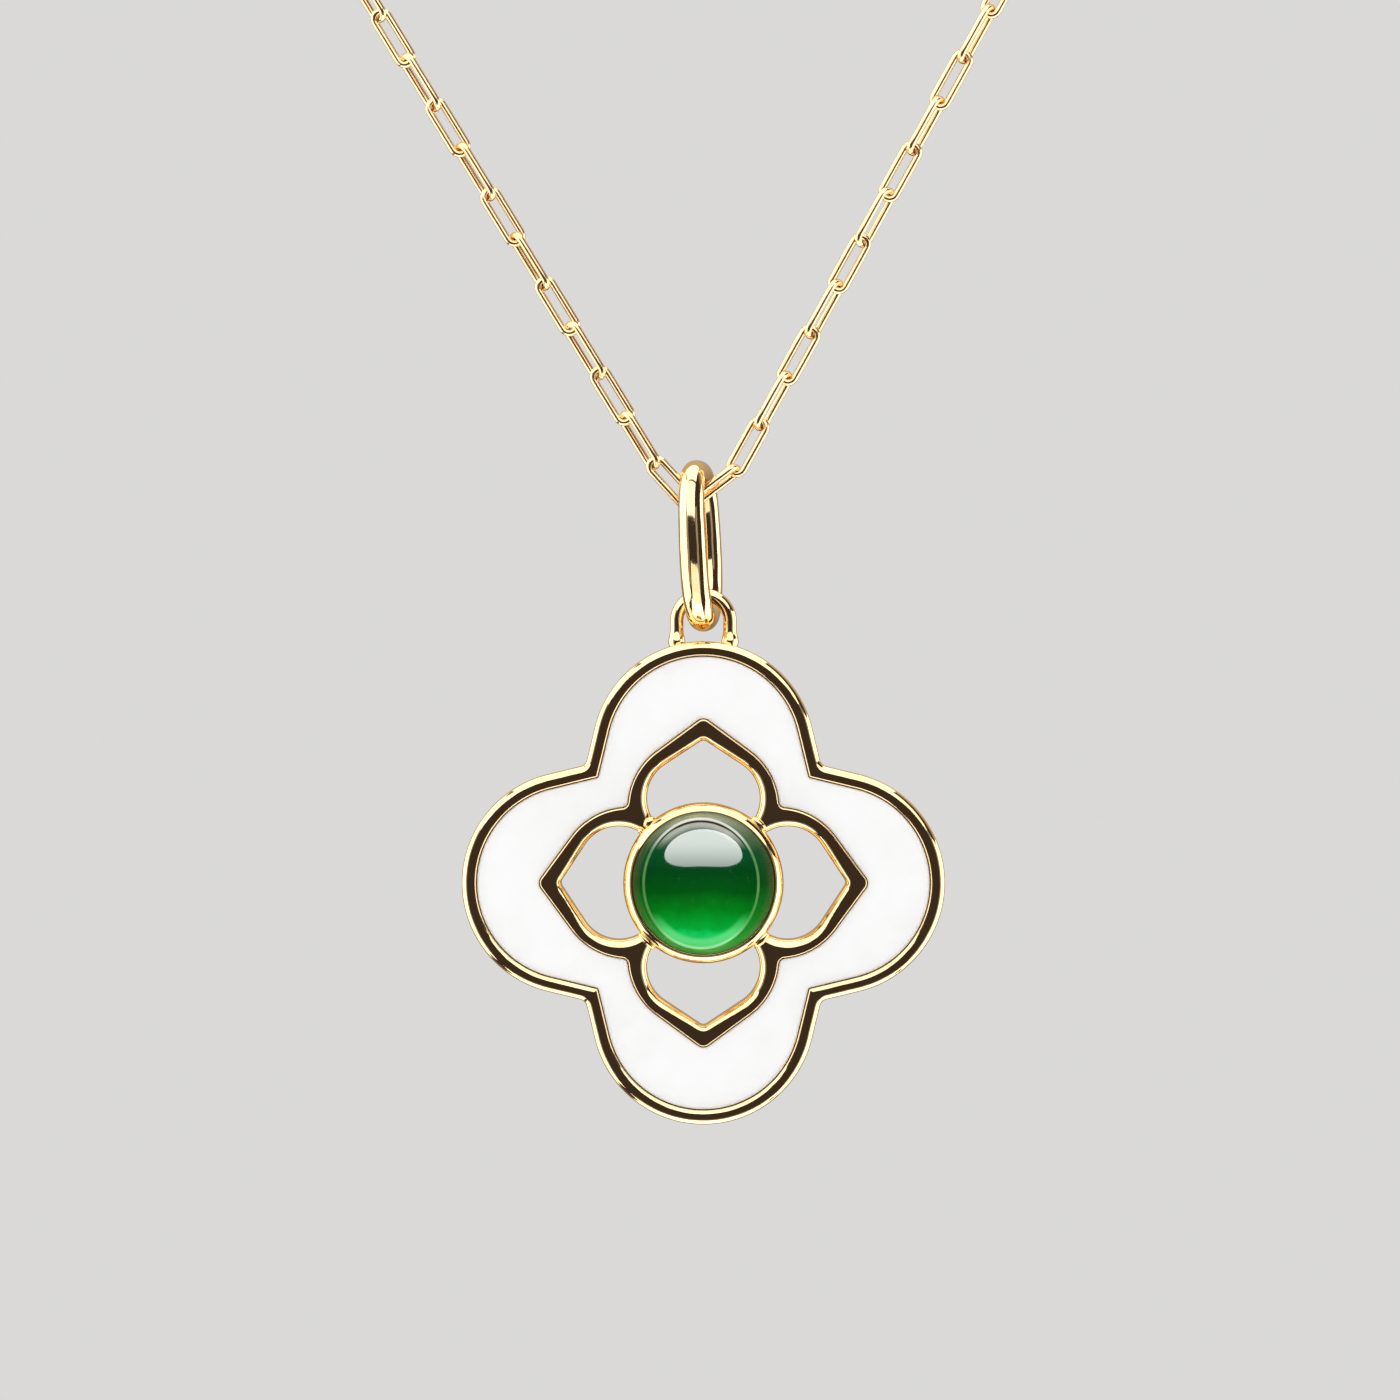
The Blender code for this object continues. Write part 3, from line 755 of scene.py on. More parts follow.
@dataclass
class Setting:
    """Polished tray with petal frames, bezel cup and top loop, all about the quatrefoil's middle.

    The sizes are those of the tray and its rim, the petals, the bezel cup, the solder and the top loop, and
    the last ones tell how finely they are drawn.
    """

    middle: Vector
    shape: Quatrefoil = field(default_factory=Quatrefoil)
    thickness: float = 0.0018
    tray_depth: float = 0.0009
    rim_width: float = 0.00054
    rim_round: float = 0.00026
    rim_crease: float = 0.00038
    rim_bevel: float = 0.000025
    bevel_power: float = 1.5
    rim_side: float = 0.0006
    wall_slope: float = 0.00005
    wall_lean: float = 0.00012
    corner: float = 0.00004
    back_ease: float = 0.00012
    petal_round: float = 0.0003
    petal_back: float = 0.00006
    petal_middle: float = 0.0036
    petal_swell: float = 1.12
    tip_swell: float = 0.35
    heel_radius: float = 0.0015
    bezel_radius: float = 0.003
    bezel_wall: float = 0.0002
    bezel_proud: float = 0.00035
    bezel_ease: float = 0.00006
    lip_width: float = 0.0003
    lip_tilt: float = 15.0
    lip_edge: float = 0.00003
    lip_drop: float = 0.00016
    seat_drop: float = 0.00024
    cup_floor: float = 0.0005
    cup_lift: float = 0.000001
    solder_place: float = 0.00304
    solder_height: float = 0.00016
    solder: tuple = ((47.0, 0.00036, 0.00015), (131.5, 0.00027, 0.00018), (140.5, 0.0001, 0.00015),
                     (225.5, 0.00042, 0.00013), (316.0, 0.00038, 0.00017))
    loop_ring: float = 0.001
    loop_wire: float = 0.0005
    loop_rise: float = 0.00075
    loop_sink: float = 0.0003
    loop_foot: float = 0.00022
    foot_swell: float = 0.3
    bevel_shares: tuple = (0.04, 0.5, 0.96)
    heel_steps: int = 20
    diagonal_steps: int = 29
    cup_steps: int = 144
    ball_steps: tuple = (12, 32)
    loop_steps: int = 48
    leg_steps: int = 12
    loop_sides: int = 28

    @property
    def front(self) -> float:
        """The y of the rim's top."""
        return -self.thickness / 2

    @property
    def back(self) -> float:
        """The y of the back."""
        return self.thickness / 2

    def lay(self, rows: list) -> np.ndarray:
        """Stand (outline, y) pairs up about the setting's middle, as the rows of a grid."""
        return np.stack([upright(outline, y) for outline, y in rows]) + np.array(self.middle)

    def lean_profile(self) -> np.ndarray:
        """The leaning edge beside the inlay as (inset, depth) pairs: a quarter ellipse, wide and deep."""
        return quarter(1.0, 5)[1:] * (self.wall_slope, self.wall_lean)

    def rim_rows(self) -> list:
        """Rows from the petal frames' top edge out over tray and rim, and round to the back.

        The frames' edge leans out to the tray's floor, the rim's inner edge leans back up to a shallow
        bevel, and the rim's outer edge is a quarter round. The bevel's depth is its full depth times a power
        of the share that is left of the way to its top edge.

        Returns:
            (outline, y) pairs.
        """
        shape, fillet, corner = self.shape, self.shape.notch_fillet, self.corner
        top, back, lean = self.front, self.back, self.lean_profile()
        floor, inner = top + self.tray_depth, self.rim_width - self.wall_slope
        frames = [(-self.wall_slope - HOLD, top), (-self.wall_slope, top)]
        frames += [(-inset, top + depth) for inset, depth in lean] + [(0.0, floor)]
        lobes, bevel = [(self.rim_width, corner, floor)], self.rim_bevel
        lobes += [(self.rim_width - inset, corner, top + bevel + depth) for inset, depth in lean[::-1]]
        for share in self.bevel_shares:
            inset = inner + (self.rim_crease - inner) * share
            lobes.append((inset, corner, top + bevel * (1 - share) ** self.bevel_power))
        lobes += [(self.rim_crease, corner, top), (self.rim_crease - HOLD, corner * 2, top),
                  (self.rim_round + HOLD / 2, fillet, top)]
        lobes += [(inset, fillet + inset, top + depth) for inset, depth in quarter(self.rim_round, 9)]
        lobes += [(0.0, fillet, top + self.rim_round + depth) for depth in (HOLD, self.rim_side)]
        lobes += [(inset, fillet + inset, back - depth) for inset, depth in quarter(self.back_ease, 6)[::-1]]
        lobes += [(self.back_ease + HOLD, fillet, back)]
        rows = [(shape.frames(outset), y) for outset, y in frames]
        rows += [(shape.lobes(inset, rounding), y) for inset, rounding, y in lobes]
        return rows + [(rows[0][0], back)]

    def petal_edge(self) -> np.ndarray:
        """Outline of the quarter round a petal.

        Returns:
            (x, z) pairs of the frame's edge, and then along one diagonal, round the heel and back along the
            other.
        """
        edge = self.shape.frames(-self.wall_slope - HOLD)[:2 * self.shape.half_steps + 1].copy()
        edge[-1] = edge[0] * (-1, 1)
        heel = arc((0.0, 0.0), self.heel_radius, math.pi * 3 / 4, math.pi / 4, self.heel_steps)
        shares = between(self.diagonal_steps)
        return np.concatenate([edge, line(edge[-1], heel[0], shares), heel, line(heel[-1], edge[0], shares)])

    def petal_rows(self) -> list:
        """Rows from the edge of the quarter round a petal in to its opening, through it and back out.

        Returns:
            (outline, y) pairs of the upper petal.
        """
        edge, centre = self.petal_edge(), np.array([0.0, self.petal_middle])
        turn = np.arctan2(edge[:, 1] - centre[1], edge[:, 0])
        top, back = self.front, self.back
        swell = (self.petal_swell - self.tip_swell * np.maximum(np.sin(turn), 0.0) ** 3)[:, None]
        hole = meet(self.shape.petal(0.0), centre, turn)

        def opening(outset: float) -> np.ndarray:
            """The opening's outline, met by rays to the edge's points, moved less far at the tip."""
            return hole + (meet(self.shape.petal(outset), centre, turn) - hole) * swell

        rows = [(edge, top), (opening(self.petal_round + HOLD), top)]
        rows += [(opening(inset), top + depth) for inset, depth in quarter(self.petal_round, 10)]
        rows += [(hole, top + self.petal_round + HOLD * 1.5), (hole, back - self.petal_back - HOLD)]
        rows += [(opening(inset), back - depth) for inset, depth in quarter(self.petal_back, 4)[::-1]]
        return rows + [(opening(self.petal_back + HOLD), back), (edge, back)]

    def body(self) -> list:
        """Tray, rim, frames and back.

        Returns:
            Grids that close on each other.
        """
        rows = self.petal_rows()
        petals = [self.lay([(turned(outline, quarters), y) for outline, y in rows]) for quarters in range(4)]
        start = math.pi / 4
        heel = arc((0.0, 0.0), self.heel_radius, start, start + 2 * math.pi, 4 * self.heel_steps)[:-1]
        floor = self.back - self.cup_floor / 2
        return [self.lay(self.rim_rows()), *petals,
                self.lay([(heel, self.front), (heel, floor), (0 * heel, floor)]),
                self.lay([(heel, self.back), (0 * heel, self.back)])]

    def cup(self) -> np.ndarray:
        """Bezel cup, turned from (radius, y) pairs: back, wall, a lip that slopes outwards, and the seat.

        The lip is an arc whose normal leans from square on to the wall in to the lip's tilt from the front.
        A tiny round takes it on over its inner edge.

        Returns:
            Grid of the cup.
        """
        top, back = self.front - self.bezel_proud, self.back - self.cup_lift
        outer, seat, ease = self.bezel_radius, self.bezel_radius - self.bezel_wall, self.bezel_ease
        floor, tilt = back - self.cup_floor, math.radians(self.lip_tilt)
        radius = self.lip_width / (1 - math.sin(tilt))
        middle = np.array([outer - radius, top + radius * math.cos(tilt)])
        lip = arc(middle, radius, 0.0, tilt - QUARTER_TURN, 14)
        inside = middle + (lip[-1] - middle) * (1 - self.lip_edge / radius)
        inner = arc(inside, self.lip_edge, tilt - QUARTER_TURN, -math.pi, 8)[1:]
        profile = [
            [(0.0, back), (outer - ease - HOLD, back)],
            arc((outer - ease, back - ease), ease, QUARTER_TURN, 0.0, 5),
            [(outer, back - ease - HOLD)],
            lip,
            inner,
            [(inner[-1, 0], top + self.lip_drop), (seat, top + self.seat_drop), (seat, floor), (0.0, floor)],
        ]
        outline = np.concatenate([np.asarray(part, float) for part in profile])
        return lathe(outline, self.cup_steps) + self.middle

    def slivers(self) -> list:
        """Slivers of solder along the bezel, between the ends of neighbouring petal frames.

        Each is a ball of radius 1, stretched to its half length along the bezel, its half width away from
        the bezel and its height in depth. A sliver is told by its place round the bezel in degrees and its
        half length and half width.

        Returns:
            A grid for each sliver.
        """
        along, round_it = self.ball_steps
        ball = lathe(ways(np.linspace(-QUARTER_TURN, QUARTER_TURN, along + 1)), round_it)
        made = []
        for place, length, width in self.solder:
            out, side = upright(ways(np.radians([place, place + 90.0])))
            axes = np.array([width * out, (0.0, self.solder_height, 0.0), length * side])
            made.append(ball @ axes + self.solder_place * out + (0.0, self.front + HOLD, 0.0) + self.middle)
        return made

    def loop(self) -> np.ndarray:
        """Arch of wire whose legs stand in the rim, a little thicker at its feet, where the solder is.

        The wire swells by a share that falls as e to the minus square of the height over the foot's.

        Returns:
            Grid of the wire, with a pole at each end.
        """
        height = self.shape.lobe_distance + self.shape.lobe_radius + self.loop_rise
        bend = arc((0.0, height), self.loop_ring, 0.0, math.pi, self.loop_steps)
        legs = np.linspace(-self.loop_rise - self.loop_sink, 0.0, self.leg_steps + 1)[:-1] + height
        right = np.stack([np.full(len(legs), self.loop_ring), legs], axis=-1)
        path = np.concatenate([right, bend, right[::-1] * (-1, 1)])
        foot = np.exp(-((path[:, 1] - path[:, 1].min() - self.loop_sink) / self.loop_foot) ** 2)
        wire = self.loop_wire / 2 * (1 + self.foot_swell * foot)
        tube = sweep(upright(path), (0.0, 1.0, 0.0), wire, self.loop_sides, False)
        ends = [np.broadcast_to(row.mean(axis=0), (1, *row.shape)) for row in (tube[0], tube[-1])]
        return np.concatenate([ends[0], tube, ends[1]]) + self.middle

    def build(self) -> list:
        """Make the setting.

        Returns:
            The tray with its frames, the bezel cup, the solder and the top loop.
        """
        return [surface("setting_tray", self.body()), surface("bezel_cup", [self.cup()], crease=50.0),
                surface("petal_solder", self.slivers(), crease=60.0),
                surface("top_loop", [self.loop()], crease=60.0)]


@dataclass
class Inlay:
    """White band that fills the tray, let in a little below the rim."""

    setting: Setting
    drop: float = 0.00012
    gap: float = 0.00003
    crown: float = 0.00002
    ease: float = 0.00006
    face_shares: tuple = (0.02, 0.15, 0.32, 0.5, 0.68, 0.85, 0.98)

    def build(self) -> list:
        """The band, from its inner bottom edge over its face to its outer bottom edge and underneath.

        Between the two eased edges the face is the inner outline plus a share of the way to the outer one,
        and it rises by the crown times the sine of half a turn over that share.

        Returns:
            The band alone.
        """
        setting, shape, eased = self.setting, self.setting.shape, quarter(self.ease, 4)
        top, floor = setting.front + self.drop, setting.front + setting.tray_depth - self.gap

        def outer(inset: float) -> np.ndarray:
            """The band's outer outline, moved in."""
            return shape.lobes(setting.rim_width + self.gap + inset, setting.corner)

        inside, outside = shape.frames(self.gap + self.ease), outer(self.ease)
        rows = [(shape.frames(self.gap), floor)]
        rows += [(shape.frames(self.gap + inset), top + depth) for inset, depth in eased[::-1]]
        rows += [(inside + (outside - inside) * share, top - self.crown * math.sin(math.pi * share))
                 for share in self.face_shares]
        rows += [(outer(inset), top + depth) for inset, depth in eased] + [(outer(0.0), floor)]
        return [surface("white_band", [], [setting.lay(rows)], 50.0)]


@dataclass
class Cabochon:
    """Round jadeite stone with a flat back, an upright wall and a dome that is fuller than an ellipse."""

    setting: Setting
    radius: float = 0.00275
    height: float = 0.0017
    girdle: float = -0.000716
    fullness: float = 2.25
    back: float = 0.00035
    dome_points: int = 40
    steps: int = 160

    def build(self) -> list:
        """The stone, turned from (radius, y) pairs.

        On the dome, (r / radius) ^ fullness + (rise / height) ^ fullness = 1.

        Returns:
            The stone alone.
        """
        dome = ways(np.linspace(0.0, QUARTER_TURN, self.dome_points)) ** (2 / self.fullness)
        dome = dome * (self.radius, -self.height)
        dome[-1, 0] = 0.0
        profile = np.concatenate([[(0.0, self.back), (self.radius, self.back)], dome + (0.0, self.girdle)])
        return [surface("jade_stone", [lathe(profile, self.steps) + self.setting.middle], crease=50.0)]


# Bail, clasp and chain

@dataclass
class Bail:
    """Long oval ring through the chain and the top loop, turned a little about the vertical and leaning."""

    bar: Vector
    height: float = 0.00644
    depth: float = 0.004
    wire: float = 0.001
    turn: float = 11.0
    lean: float = -2.5
    fullness: tuple = (3.0, 2.2)
    foot_radius: float = 0.00053
    waist: float = 0.00001
    taper: float = 0.00006
    steps: int = 180
    sides: int = 40

    def build(self) -> list:
        """The ring: a long oval with bowed legs that stands on its foot, first in its own YZ plane.

        (y / half depth) ^ fullness + (rise from the middle / half height) ^ fullness = 1, with one fullness
        for the upper half and another for the lower. The wire thins from the foot to the bar by a part even
        and a part square in the height.

        Returns:
            The ring alone.
        """
        span = self.height - self.wire
        turn = steps_round(self.steps) + math.pi / self.steps
        power = 2 / np.where(np.sin(turn) > 0, *self.fullness)[:, None]
        oval = np.sign(ways(turn)) * np.abs(ways(turn)) ** power * ((self.depth - self.wire) / 2, span / 2)
        path = np.insert(oval + (0.0, span / 2), 0, 0.0, axis=1)
        share = path[:, 2] / span
        radius = self.foot_radius - self.waist * share - self.taper * share ** 2
        ring = sweep(path, (1.0, 0.0, 0.0), radius, self.sides)
        tilt = np.array(Euler((0.0, math.radians(self.lean), -math.radians(self.turn)), "ZYX").to_matrix())
        foot = np.array(self.bar) - tilt @ (0.0, 0.0, span)
        return [surface("bail_ring", [], [ring @ tilt.T + foot], 60.0)]


@dataclass
class Clasp:
    """Plain barrel with an eye soldered to each end and a fine seam round its middle."""

    length: float = 0.0064
    width: float = 0.0022
    ease: float = 0.0004
    eye_hole: float = 0.00065
    eye_wire: float = 0.0004
    eye_sink: float = 0.0003
    seam_width: float = 0.00009
    seam_depth: float = 0.00004
    seam_edge: float = 1.3
    wall_hold: float = 0.00003
    steps: int = 72
    eye_steps: int = 48
    eye_sides: int = 20

    @property
    def eye_place(self) -> float:
        """Distance of an eye's centre from the middle."""
        return self.length / 2 + self.eye_hole + self.eye_wire - self.eye_sink

    @property
    def eye_ring(self) -> float:
        """Radius of an eye's middle line."""
        return self.eye_hole + self.eye_wire / 2

    def build(self) -> list:
        """The barrel with its eyes.

        Half of the barrel is turned from (radius, x) pairs: a rounded groove at the middle, the wall, and an
        eased end.

        Returns:
            The clasp alone.
        """
        radius, eased = self.width / 2, self.length / 2 - self.ease
        groove = (radius, 0.0) + ways(np.linspace(0.0, QUARTER_TURN, 7)) * (-self.seam_depth, self.seam_width)
        wall = [(radius, self.seam_width * self.seam_edge), (radius, eased - self.wall_hold)]
        end = arc((radius - self.ease, eased), self.ease, 0.0, QUARTER_TURN, 10)
        half = np.concatenate([groove, wall, end, [(0.0, self.length / 2)]])
        lift = np.array([0.0, 0.0, radius])
        barrel = lathe(np.concatenate([half[:0:-1] * (1, -1), half]), self.steps)[..., (1, 0, 2)] + lift
        circle = upright(self.eye_ring * ways(steps_round(self.eye_steps)))
        eye = sweep(circle, (0.0, 1.0, 0.0), self.eye_wire / 2, self.eye_sides) + lift
        eyes = [eye + (side * self.eye_place, 0.0, 0.0) for side in (-1, 1)]
        return [surface("barrel_clasp", [barrel], eyes, 50.0)]


@dataclass(frozen=True)
class LinkMesh:
    """How finely a link is drawn: steps round each end, points along each side, points round the wire."""

    bend: int
    side: int
    wire: int


@dataclass
class Chain:
    """Paperclip chain of long oval links, every other one turned, from eye to eye under the bail's bar.

    Link ends are told by pins, the points where neighbouring links cross. Pairs are for left and right.
    """

    bar: Vector
    clasp: Clasp
    wire: float = 0.00027
    width: float = 0.00084
    play: float = 0.000014
    pitch: float = 0.001967
    wrap: float = 0.0012
    fall: tuple = (31.5, 29.0)
    straight: tuple = (0.093496, 0.098562)
    nape_radius: tuple = (0.052791, 0.049732)
    nape_centre: tuple = ((0.004863, 0.106675), (0.005337, 0.109734))
    first_pin: tuple = (0.00117, 0.00078)
    links: tuple = (104, 103)
    true_links: int = 14
    bar_pin: tuple = (-0.000238, -0.001165)
    ring_radius: float = 0.0005
    ring_gap: float = 0.00001
    end_gap: float = 0.0001
    sway: tuple = (7.0, 4.0)
    sway_beat: tuple = (2.4, 1.3)
    roll: tuple = (56.0, 90.0)
    roll_from: tuple = (24, 40)
    fine_links: int = 22
    near: LinkMesh = LinkMesh(10, 3, 12)
    far: LinkMesh = LinkMesh(4, 0, 6)
    ring_steps: int = 32
    ring_sides: int = 12

    @property
    def ring_place(self) -> float:
        """Distance of a jump ring's centre from the clasp's middle."""
        inner = self.clasp.eye_place + self.clasp.eye_ring - self.clasp.eye_wire / 2
        return inner - self.wire / 2 - self.ring_gap + self.ring_radius

    @property
    def ring_slack(self) -> float:
        """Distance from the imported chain's end to the pin of the last link in its jump ring."""
        end = self.clasp.eye_place + self.clasp.eye_hole + self.clasp.eye_wire + self.end_gap
        return self.ring_place + self.ring_radius - self.wire / 2 - end

    def strand(self, hand: int) -> np.ndarray:
        """Pins of one side, from the bail out to the clasp, as (x, z) pairs in the world.

        Up to the end of the straight strand a pin is the corner under the bail plus its distance times
        (sine, cosine) of the fall. Beyond it, it lies on the circle round the nape. The first pins are a
        pitch apart, and the rest share what is left evenly.

        Args:
            hand: 0 for the left and 1 for the right.

        Returns:
            The pins.
        """
        lean = math.radians(self.fall[hand])
        radius, straight = self.nape_radius[hand], self.straight[hand]
        whole = straight + radius * (QUARTER_TURN + lean) - self.ring_slack
        start, count = self.first_pin[hand], self.links[hand]
        place = np.interp(np.arange(count + 1), [0, self.true_links, count],
                          [start, start + self.true_links * self.pitch, whole])
        sine, cosine = math.sin(lean), math.cos(lean)
        level = self.wrap * np.array([cosine, -sine]) + place[:, None] * np.array([sine, cosine])
        round_it = self.nape_centre[hand] + radius * ways(np.maximum(place - straight, 0.0) / radius - lean)
        out = np.where((place < straight)[:, None], level, round_it)
        return out * ((-1, 1)[hand], 1) + (self.bar.x, self.bar.z)

    def rolls(self, step: np.ndarray) -> np.ndarray:
        """Turn of each link about the chain, in radians.

        The link left of the bar faces the front and every other one with it, give or take a few degrees.
        The links between lie half turned near the bail and square on further away.

        Args:
            step: Each link's steps from the lowest one, negative on the left.

        Returns:
            The turns.
        """
        first, second = np.radians(self.sway)
        sway = first * np.sin(step * self.sway_beat[0]) + second * np.cos(step * self.sway_beat[1])
        roll = np.radians(np.interp(np.abs(step), self.roll_from, self.roll))
        return sway + np.where(step % 2 == 0, 0.0, roll)

    def draw(self, centre: np.ndarray, along: np.ndarray, roll: np.ndarray, mesh: LinkMesh) -> np.ndarray:
        """Wire grids of many links at once.

        A link's middle line is two half circles joined by straight sides. Round the wire, a point is
        the middle line plus half the wire times (cosine x outward + sine x the link's own axis).

        Args:
            centre: Middles of the links, n x 3.
            along: Unit directions of the links, n x 3.
            roll: Turn of each link about its own direction, in radians.
            mesh: How finely to draw them.

        Returns:
            Points shaped n x steps along the link x points round the wire x 3.
        """
        bend = (self.width - self.wire) / 2
        half = (self.pitch + self.play) / 2 + self.wire - self.width / 2
        turn = ways(np.linspace(-QUARTER_TURN, QUARTER_TURN, mesh.bend + 1))
        cap = np.concatenate([turn * bend + (half, 0.0), turn], axis=1)
        top = line(np.array([half, bend, 0.0, 1.0]), np.array([-half, bend, 0.0, 1.0]), between(mesh.side))
        flat = np.concatenate([cap, top, -cap, -top])
        front = np.array([0.0, -1.0, 0.0])
        across = unit(np.cross(front, along)) * np.cos(roll)[:, None] + front * np.sin(roll)[:, None]
        phase = steps_round(mesh.wire)
        size = self.wire / 2 * np.cos(phase)
        grids = (flat[:, 0, None] + size * flat[:, 2, None], flat[:, 1, None] + size * flat[:, 3, None],
                 self.wire / 2 * np.sin(phase) + np.zeros((len(flat), 1)))
        axes = (along, across, np.cross(along, across))
        wires = sum(grid[None, ..., None] * axis[:, None, None] for grid, axis in zip(grids, axes))
        return centre[:, None, None] + wires

    def jump_ring(self, side: int) -> np.ndarray:
        """Round ring that lies level in the clasp's eye and carries the last link.

        Args:
            side: -1 for the left and 1 for the right.

        Returns:
            Grid of the ring's wire.
        """
        circle = self.ring_radius * ways(steps_round(self.ring_steps)) + (side * self.ring_place, 0.0)
        path = np.insert(circle, 2, self.clasp.width / 2, axis=1)
        return sweep(path, (0.0, 0.0, 1.0), self.wire / 2, self.ring_sides)

    def build(self) -> list:
        """Make the chain with its jump rings.

        Returns:
            The finely drawn links near the pendant, and the rest.
        """
        low = [(self.bar.x + self.bar_pin[0], self.bar.z + self.bar_pin[1])]
        pins = upright(np.concatenate([self.strand(0)[::-1], low, self.strand(1)]))
        centre, along = (pins[1:] + pins[:-1]) / 2, unit(pins[1:] - pins[:-1])
        step = np.arange(len(centre)) - self.links[0]
        roll, close = self.rolls(step), np.abs(step) <= self.fine_links
        front = self.draw(centre[close], along[close], roll[close], self.near)
        rest = self.draw(centre[~close], along[~close], roll[~close], self.far)
        return [surface("chain_front", [], [*front], 60.0, 1e-8),
                surface("chain_rest", [], [*rest, self.jump_ring(-1), self.jump_ring(1)], 60.0, 1e-8)]


# The studio

class Form(Enum):
    """Outlines of a studio light, and the share of their box that they fill."""

    OVAL = ("ELLIPSE", math.pi / 4)
    STRIP = ("RECTANGLE", 1.0)


def staged(name: str, data: bpy.types.ID) -> bpy.types.Object:
    """Put a light or a camera into the scene.

    Args:
        name: The object's name.
        data: The light or the camera.

    Returns:
        Its object.
    """
    made = bpy.data.objects.new(name, data)
    bpy.context.scene.collection.objects.link(made)
    return made


@dataclass(frozen=True)
class Lamp:
    """A soft light on a sphere round the pendant, told by its direction, size and brightness."""

    name: str
    azimuth: float
    elevation: float
    width: float
    height: float
    radiance: float
    form: Form = Form.STRIP
    distance: float = 0.5

    def build(self, aim: Vector) -> bpy.types.Object:
        """Hang the light: its power is the radiance times pi times its area.

        Args:
            aim: The point that it faces and lies round.

        Returns:
            The light's object.
        """
        light = bpy.data.lights.new(self.name, "AREA")
        light.shape, filled = self.form.value
        light.size, light.size_y = self.width, self.height
        area = self.width * self.height * filled
        light.energy = self.radiance * math.pi * area
        made = staged(self.name, light)
        turn, rise = math.radians(self.azimuth), math.radians(self.elevation)
        way = Vector((math.cos(rise) * math.sin(turn), -math.cos(rise) * math.cos(turn), math.sin(rise)))
        made.location = aim + way * self.distance
        made.rotation_euler = (-way).to_track_quat("-Z", "Y").to_euler()
        made.visible_camera = False
        return made


@dataclass
class Studio:
    """Pale floor, plain background, soft lights and the camera of the photograph.

    The world is a plain backdrop for the camera, and for everything else a grey behind the object, from
    below to above, with a dim fill in front of it.
    """

    aim: Vector
    eye: tuple = (-0.0001275, -0.30, -0.166897)
    lens: float = 205.7
    sensor: float = 36.0
    clip: tuple = (0.01, 20.0)
    floor_level: float = -0.9
    floor_radius: float = 7.5
    floor_steps: int = 64
    floor_light: float = 2.6
    floor_lamp_angle: float = 20.0
    backdrop: tuple = (0.70, 0.695, 0.685, 1.0)
    above: tuple = (0.60, 0.49, 0.34, 1.0)
    below: tuple = (0.20, 0.155, 0.105, 1.0)
    fill: tuple = (0.04, 0.031, 0.029, 1.0)
    setting_lamps: tuple = (
        Lamp("key", 0.0, 38.0, 0.93, 0.49, 1.7, Form.OVAL),
        Lamp("right_front", 67.0, -16.0, 0.30, 0.7, 2.0),
    )
    lamps: tuple = (
        Lamp("left_front", -67.0, 5.0, 0.30, 1.0, 2.0),
        Lamp("left_rear", -104.0, 5.0, 0.34, 1.0, 2.0),
        Lamp("right_rear", 104.0, -16.0, 0.34, 0.7, 2.0),
        Lamp("low_front", 0.0, -71.0, 0.7, 0.30, 2.0),
        Lamp("low_rear", 0.0, -104.0, 0.7, 0.34, 2.0),
        Lamp("overhead", 0.0, 92.0, 0.7, 0.5, 2.0),
        Lamp("left_edge", -41.0, 0.0, 0.14, 0.5, 0.3),
        Lamp("right_edge", 41.0, -4.0, 0.14, 0.46, 0.3),
        Lamp("low_edge", 0.0, -46.0, 0.5, 0.14, 0.2),
    )
    stone_lamps: tuple = (Lamp("stone_key", 0.0, 37.0, 0.82, 0.49, 6.2, Form.OVAL),)
    bail_lamps: tuple = (
        Lamp("bail_key", -6.0, 37.0, 0.70, 0.44, 1.7),
        Lamp("bail_low", 6.0, -39.0, 0.62, 0.58, 1.2),
    )

    def world(self) -> None:
        """Make the world; its grey's share rises smoothly as the y of the direction goes from -0.1 to 0.5."""
        world = bpy.data.worlds.new("studio")
        bpy.context.scene.world = world
        world.use_nodes = True
        recipe = Recipe(world.node_tree)
        seen = recipe.node("ShaderNodeLightPath", output="Is Camera Ray")
        _, ahead, up = recipe.axes(recipe.node("ShaderNodeTexCoord", output="Generated"))
        grey = recipe.blend(up.ease(-0.6, 0.7), self.below, self.above)
        around = recipe.blend(ahead.ease(-0.1, 0.5), self.fill, grey)
        dim = recipe.node("ShaderNodeBackground", {}, {"Color": around})
        pale = recipe.node("ShaderNodeBackground", {}, {"Color": self.backdrop})
        both = recipe.node("ShaderNodeMixShader", {}, {0: seen, 1: dim, 2: pale})
        recipe.node("ShaderNodeOutputWorld", {}, {"Surface": both})

    def floor(self) -> bpy.types.Object:
        """Round flat floor: rings of points at radius x (cosine, sine).

        Returns:
            The floor.
        """
        circle = self.floor_radius * ways(steps_round(self.floor_steps))
        rings = np.array([0.0, 0.5, 1.0])[:, None, None] * circle
        made = surface("studio_floor", [np.insert(rings, 2, self.floor_level, axis=2)], (), 30.0, 1e-5)
        if made.data.polygons[0].normal.z < 0:
            made.data.flip_normals()
        made.data.materials.append(PaleFloor().material())
        made.visible_glossy = False
        return made

    def floor_lamp(self) -> bpy.types.Object:
        """Even light straight down, so that the floor is as pale as the background.

        Returns:
            The light's object.
        """
        light = bpy.data.lights.new("floor_lamp", "SUN")
        light.energy, light.angle = self.floor_light, math.radians(self.floor_lamp_angle)
        return staged("floor_lamp", light)

    def camera(self) -> None:
        """Straight-on camera; the frame is the sensor's width over the lens times the distance."""
        made = staged("photo_camera", bpy.data.cameras.new("photo_camera"))
        made.data.sensor_width, made.data.lens = self.sensor, self.lens
        made.data.clip_start, made.data.clip_end = self.clip
        made.location, made.rotation_euler = self.eye, (math.pi / 2, 0.0, 0.0)
        bpy.context.scene.camera = made

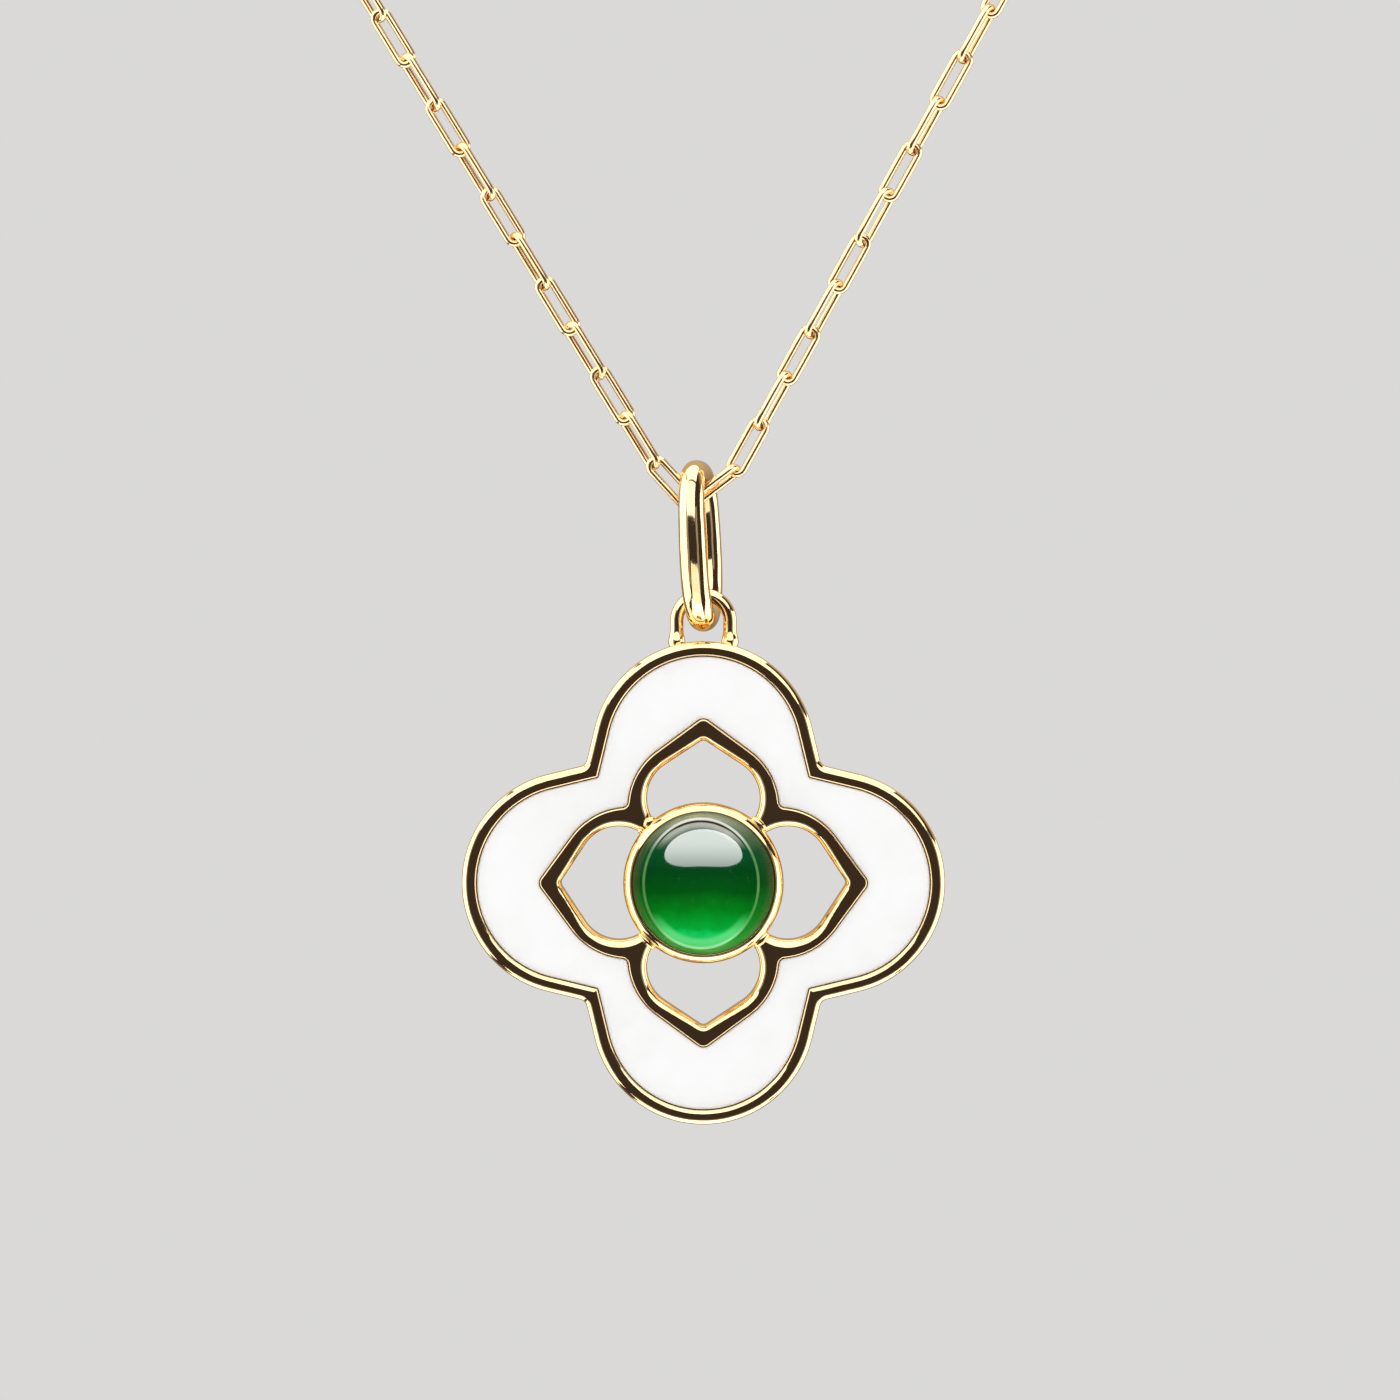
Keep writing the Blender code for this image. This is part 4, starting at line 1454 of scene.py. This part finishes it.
    def build(self, stone: bpy.types.Object, bail: bpy.types.Object) -> None:
        """Set up the whole studio, seen without any film look.

        Args:
            stone: The cabochon, which has a key of its own.
            bail: The bail, which has two lights of its own.
        """
        self.world()
        floor = self.floor()
        light_up([self.floor_lamp()], [floor], True)
        for lamps, targets, only in (
            (self.stone_lamps, [stone], True),
            (self.bail_lamps, [bail], True),
            (self.lamps, [stone], False),
            (self.setting_lamps, [stone, bail], False),
        ):
            light_up([lamp.build(self.aim) for lamp in lamps], targets, only)
        self.camera()
        bpy.context.scene.view_settings.view_transform = "Standard"


def light_up(lamps: list, targets: list, only: bool) -> None:
    """Let lamps fall on some objects only, or on all the others.

    Args:
        lamps: The lights' objects.
        targets: The objects in question.
        only: True for those objects alone, False for everything but them.
    """
    lit = bpy.data.collections.new(f"lit_by_{lamps[0].name}")
    for target in targets:
        lit.objects.link(target)
    for entry in lit.collection_objects:
        entry.light_linking.link_state = "INCLUDE" if only else "EXCLUDE"
    for lamp in lamps:
        lamp.light_linking.receiver_collection = lit


# The whole necklace

@dataclass(frozen=True)
class Dress:
    """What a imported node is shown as: its pieces, the body they ride on, their slot and their finish."""

    node: str
    body: Body
    slot: Slot
    pieces: list
    finish: Finish

    def apply(self) -> None:
        """Give each piece its material and body, hide the imported node, and report it."""
        material = self.finish.material()
        for piece in self.pieces:
            piece.data.materials.append(material)
            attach(piece, self.body.value)
            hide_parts(self.node)
            faces = len(piece.data.polygons)
            log.info("%s: %s rides on %s with %d faces", self.node, piece.name, self.body.value, faces)


def main() -> None:
    """Build every sub-assembly and the studio."""
    logging.basicConfig(level=logging.INFO, format="%(name)s: %(message)s")
    setting = Setting(MIDDLE)
    stone = Cabochon(setting).build()
    bail = Bail(BAR).build()
    clasp = Clasp()
    for dress in (
        Dress("gold_setting", Body.PENDANT, Slot.SETTING, setting.build(), SETTING_GOLD),
        Dress("white_inlay", Body.PENDANT, Slot.INLAY, Inlay(setting).build(), WhiteAgate()),
        Dress("jade_cabochon", Body.PENDANT, Slot.STONE, stone, GreenJadeite(tuple(MIDDLE))),
        Dress("bail", Body.BAIL, Slot.BAIL, bail, BAIL_GOLD),
        Dress("chain", Body.NECKLACE, Slot.CHAIN, Chain(BAR, clasp).build(), CHAIN_GOLD),
        Dress("clasp", Body.NECKLACE, Slot.CLASP, clasp.build(), CLASP_GOLD),
    ):
        dress.apply()
    Studio(MIDDLE).build(stone[0], bail[0])


if __name__ == "__main__":
    main()
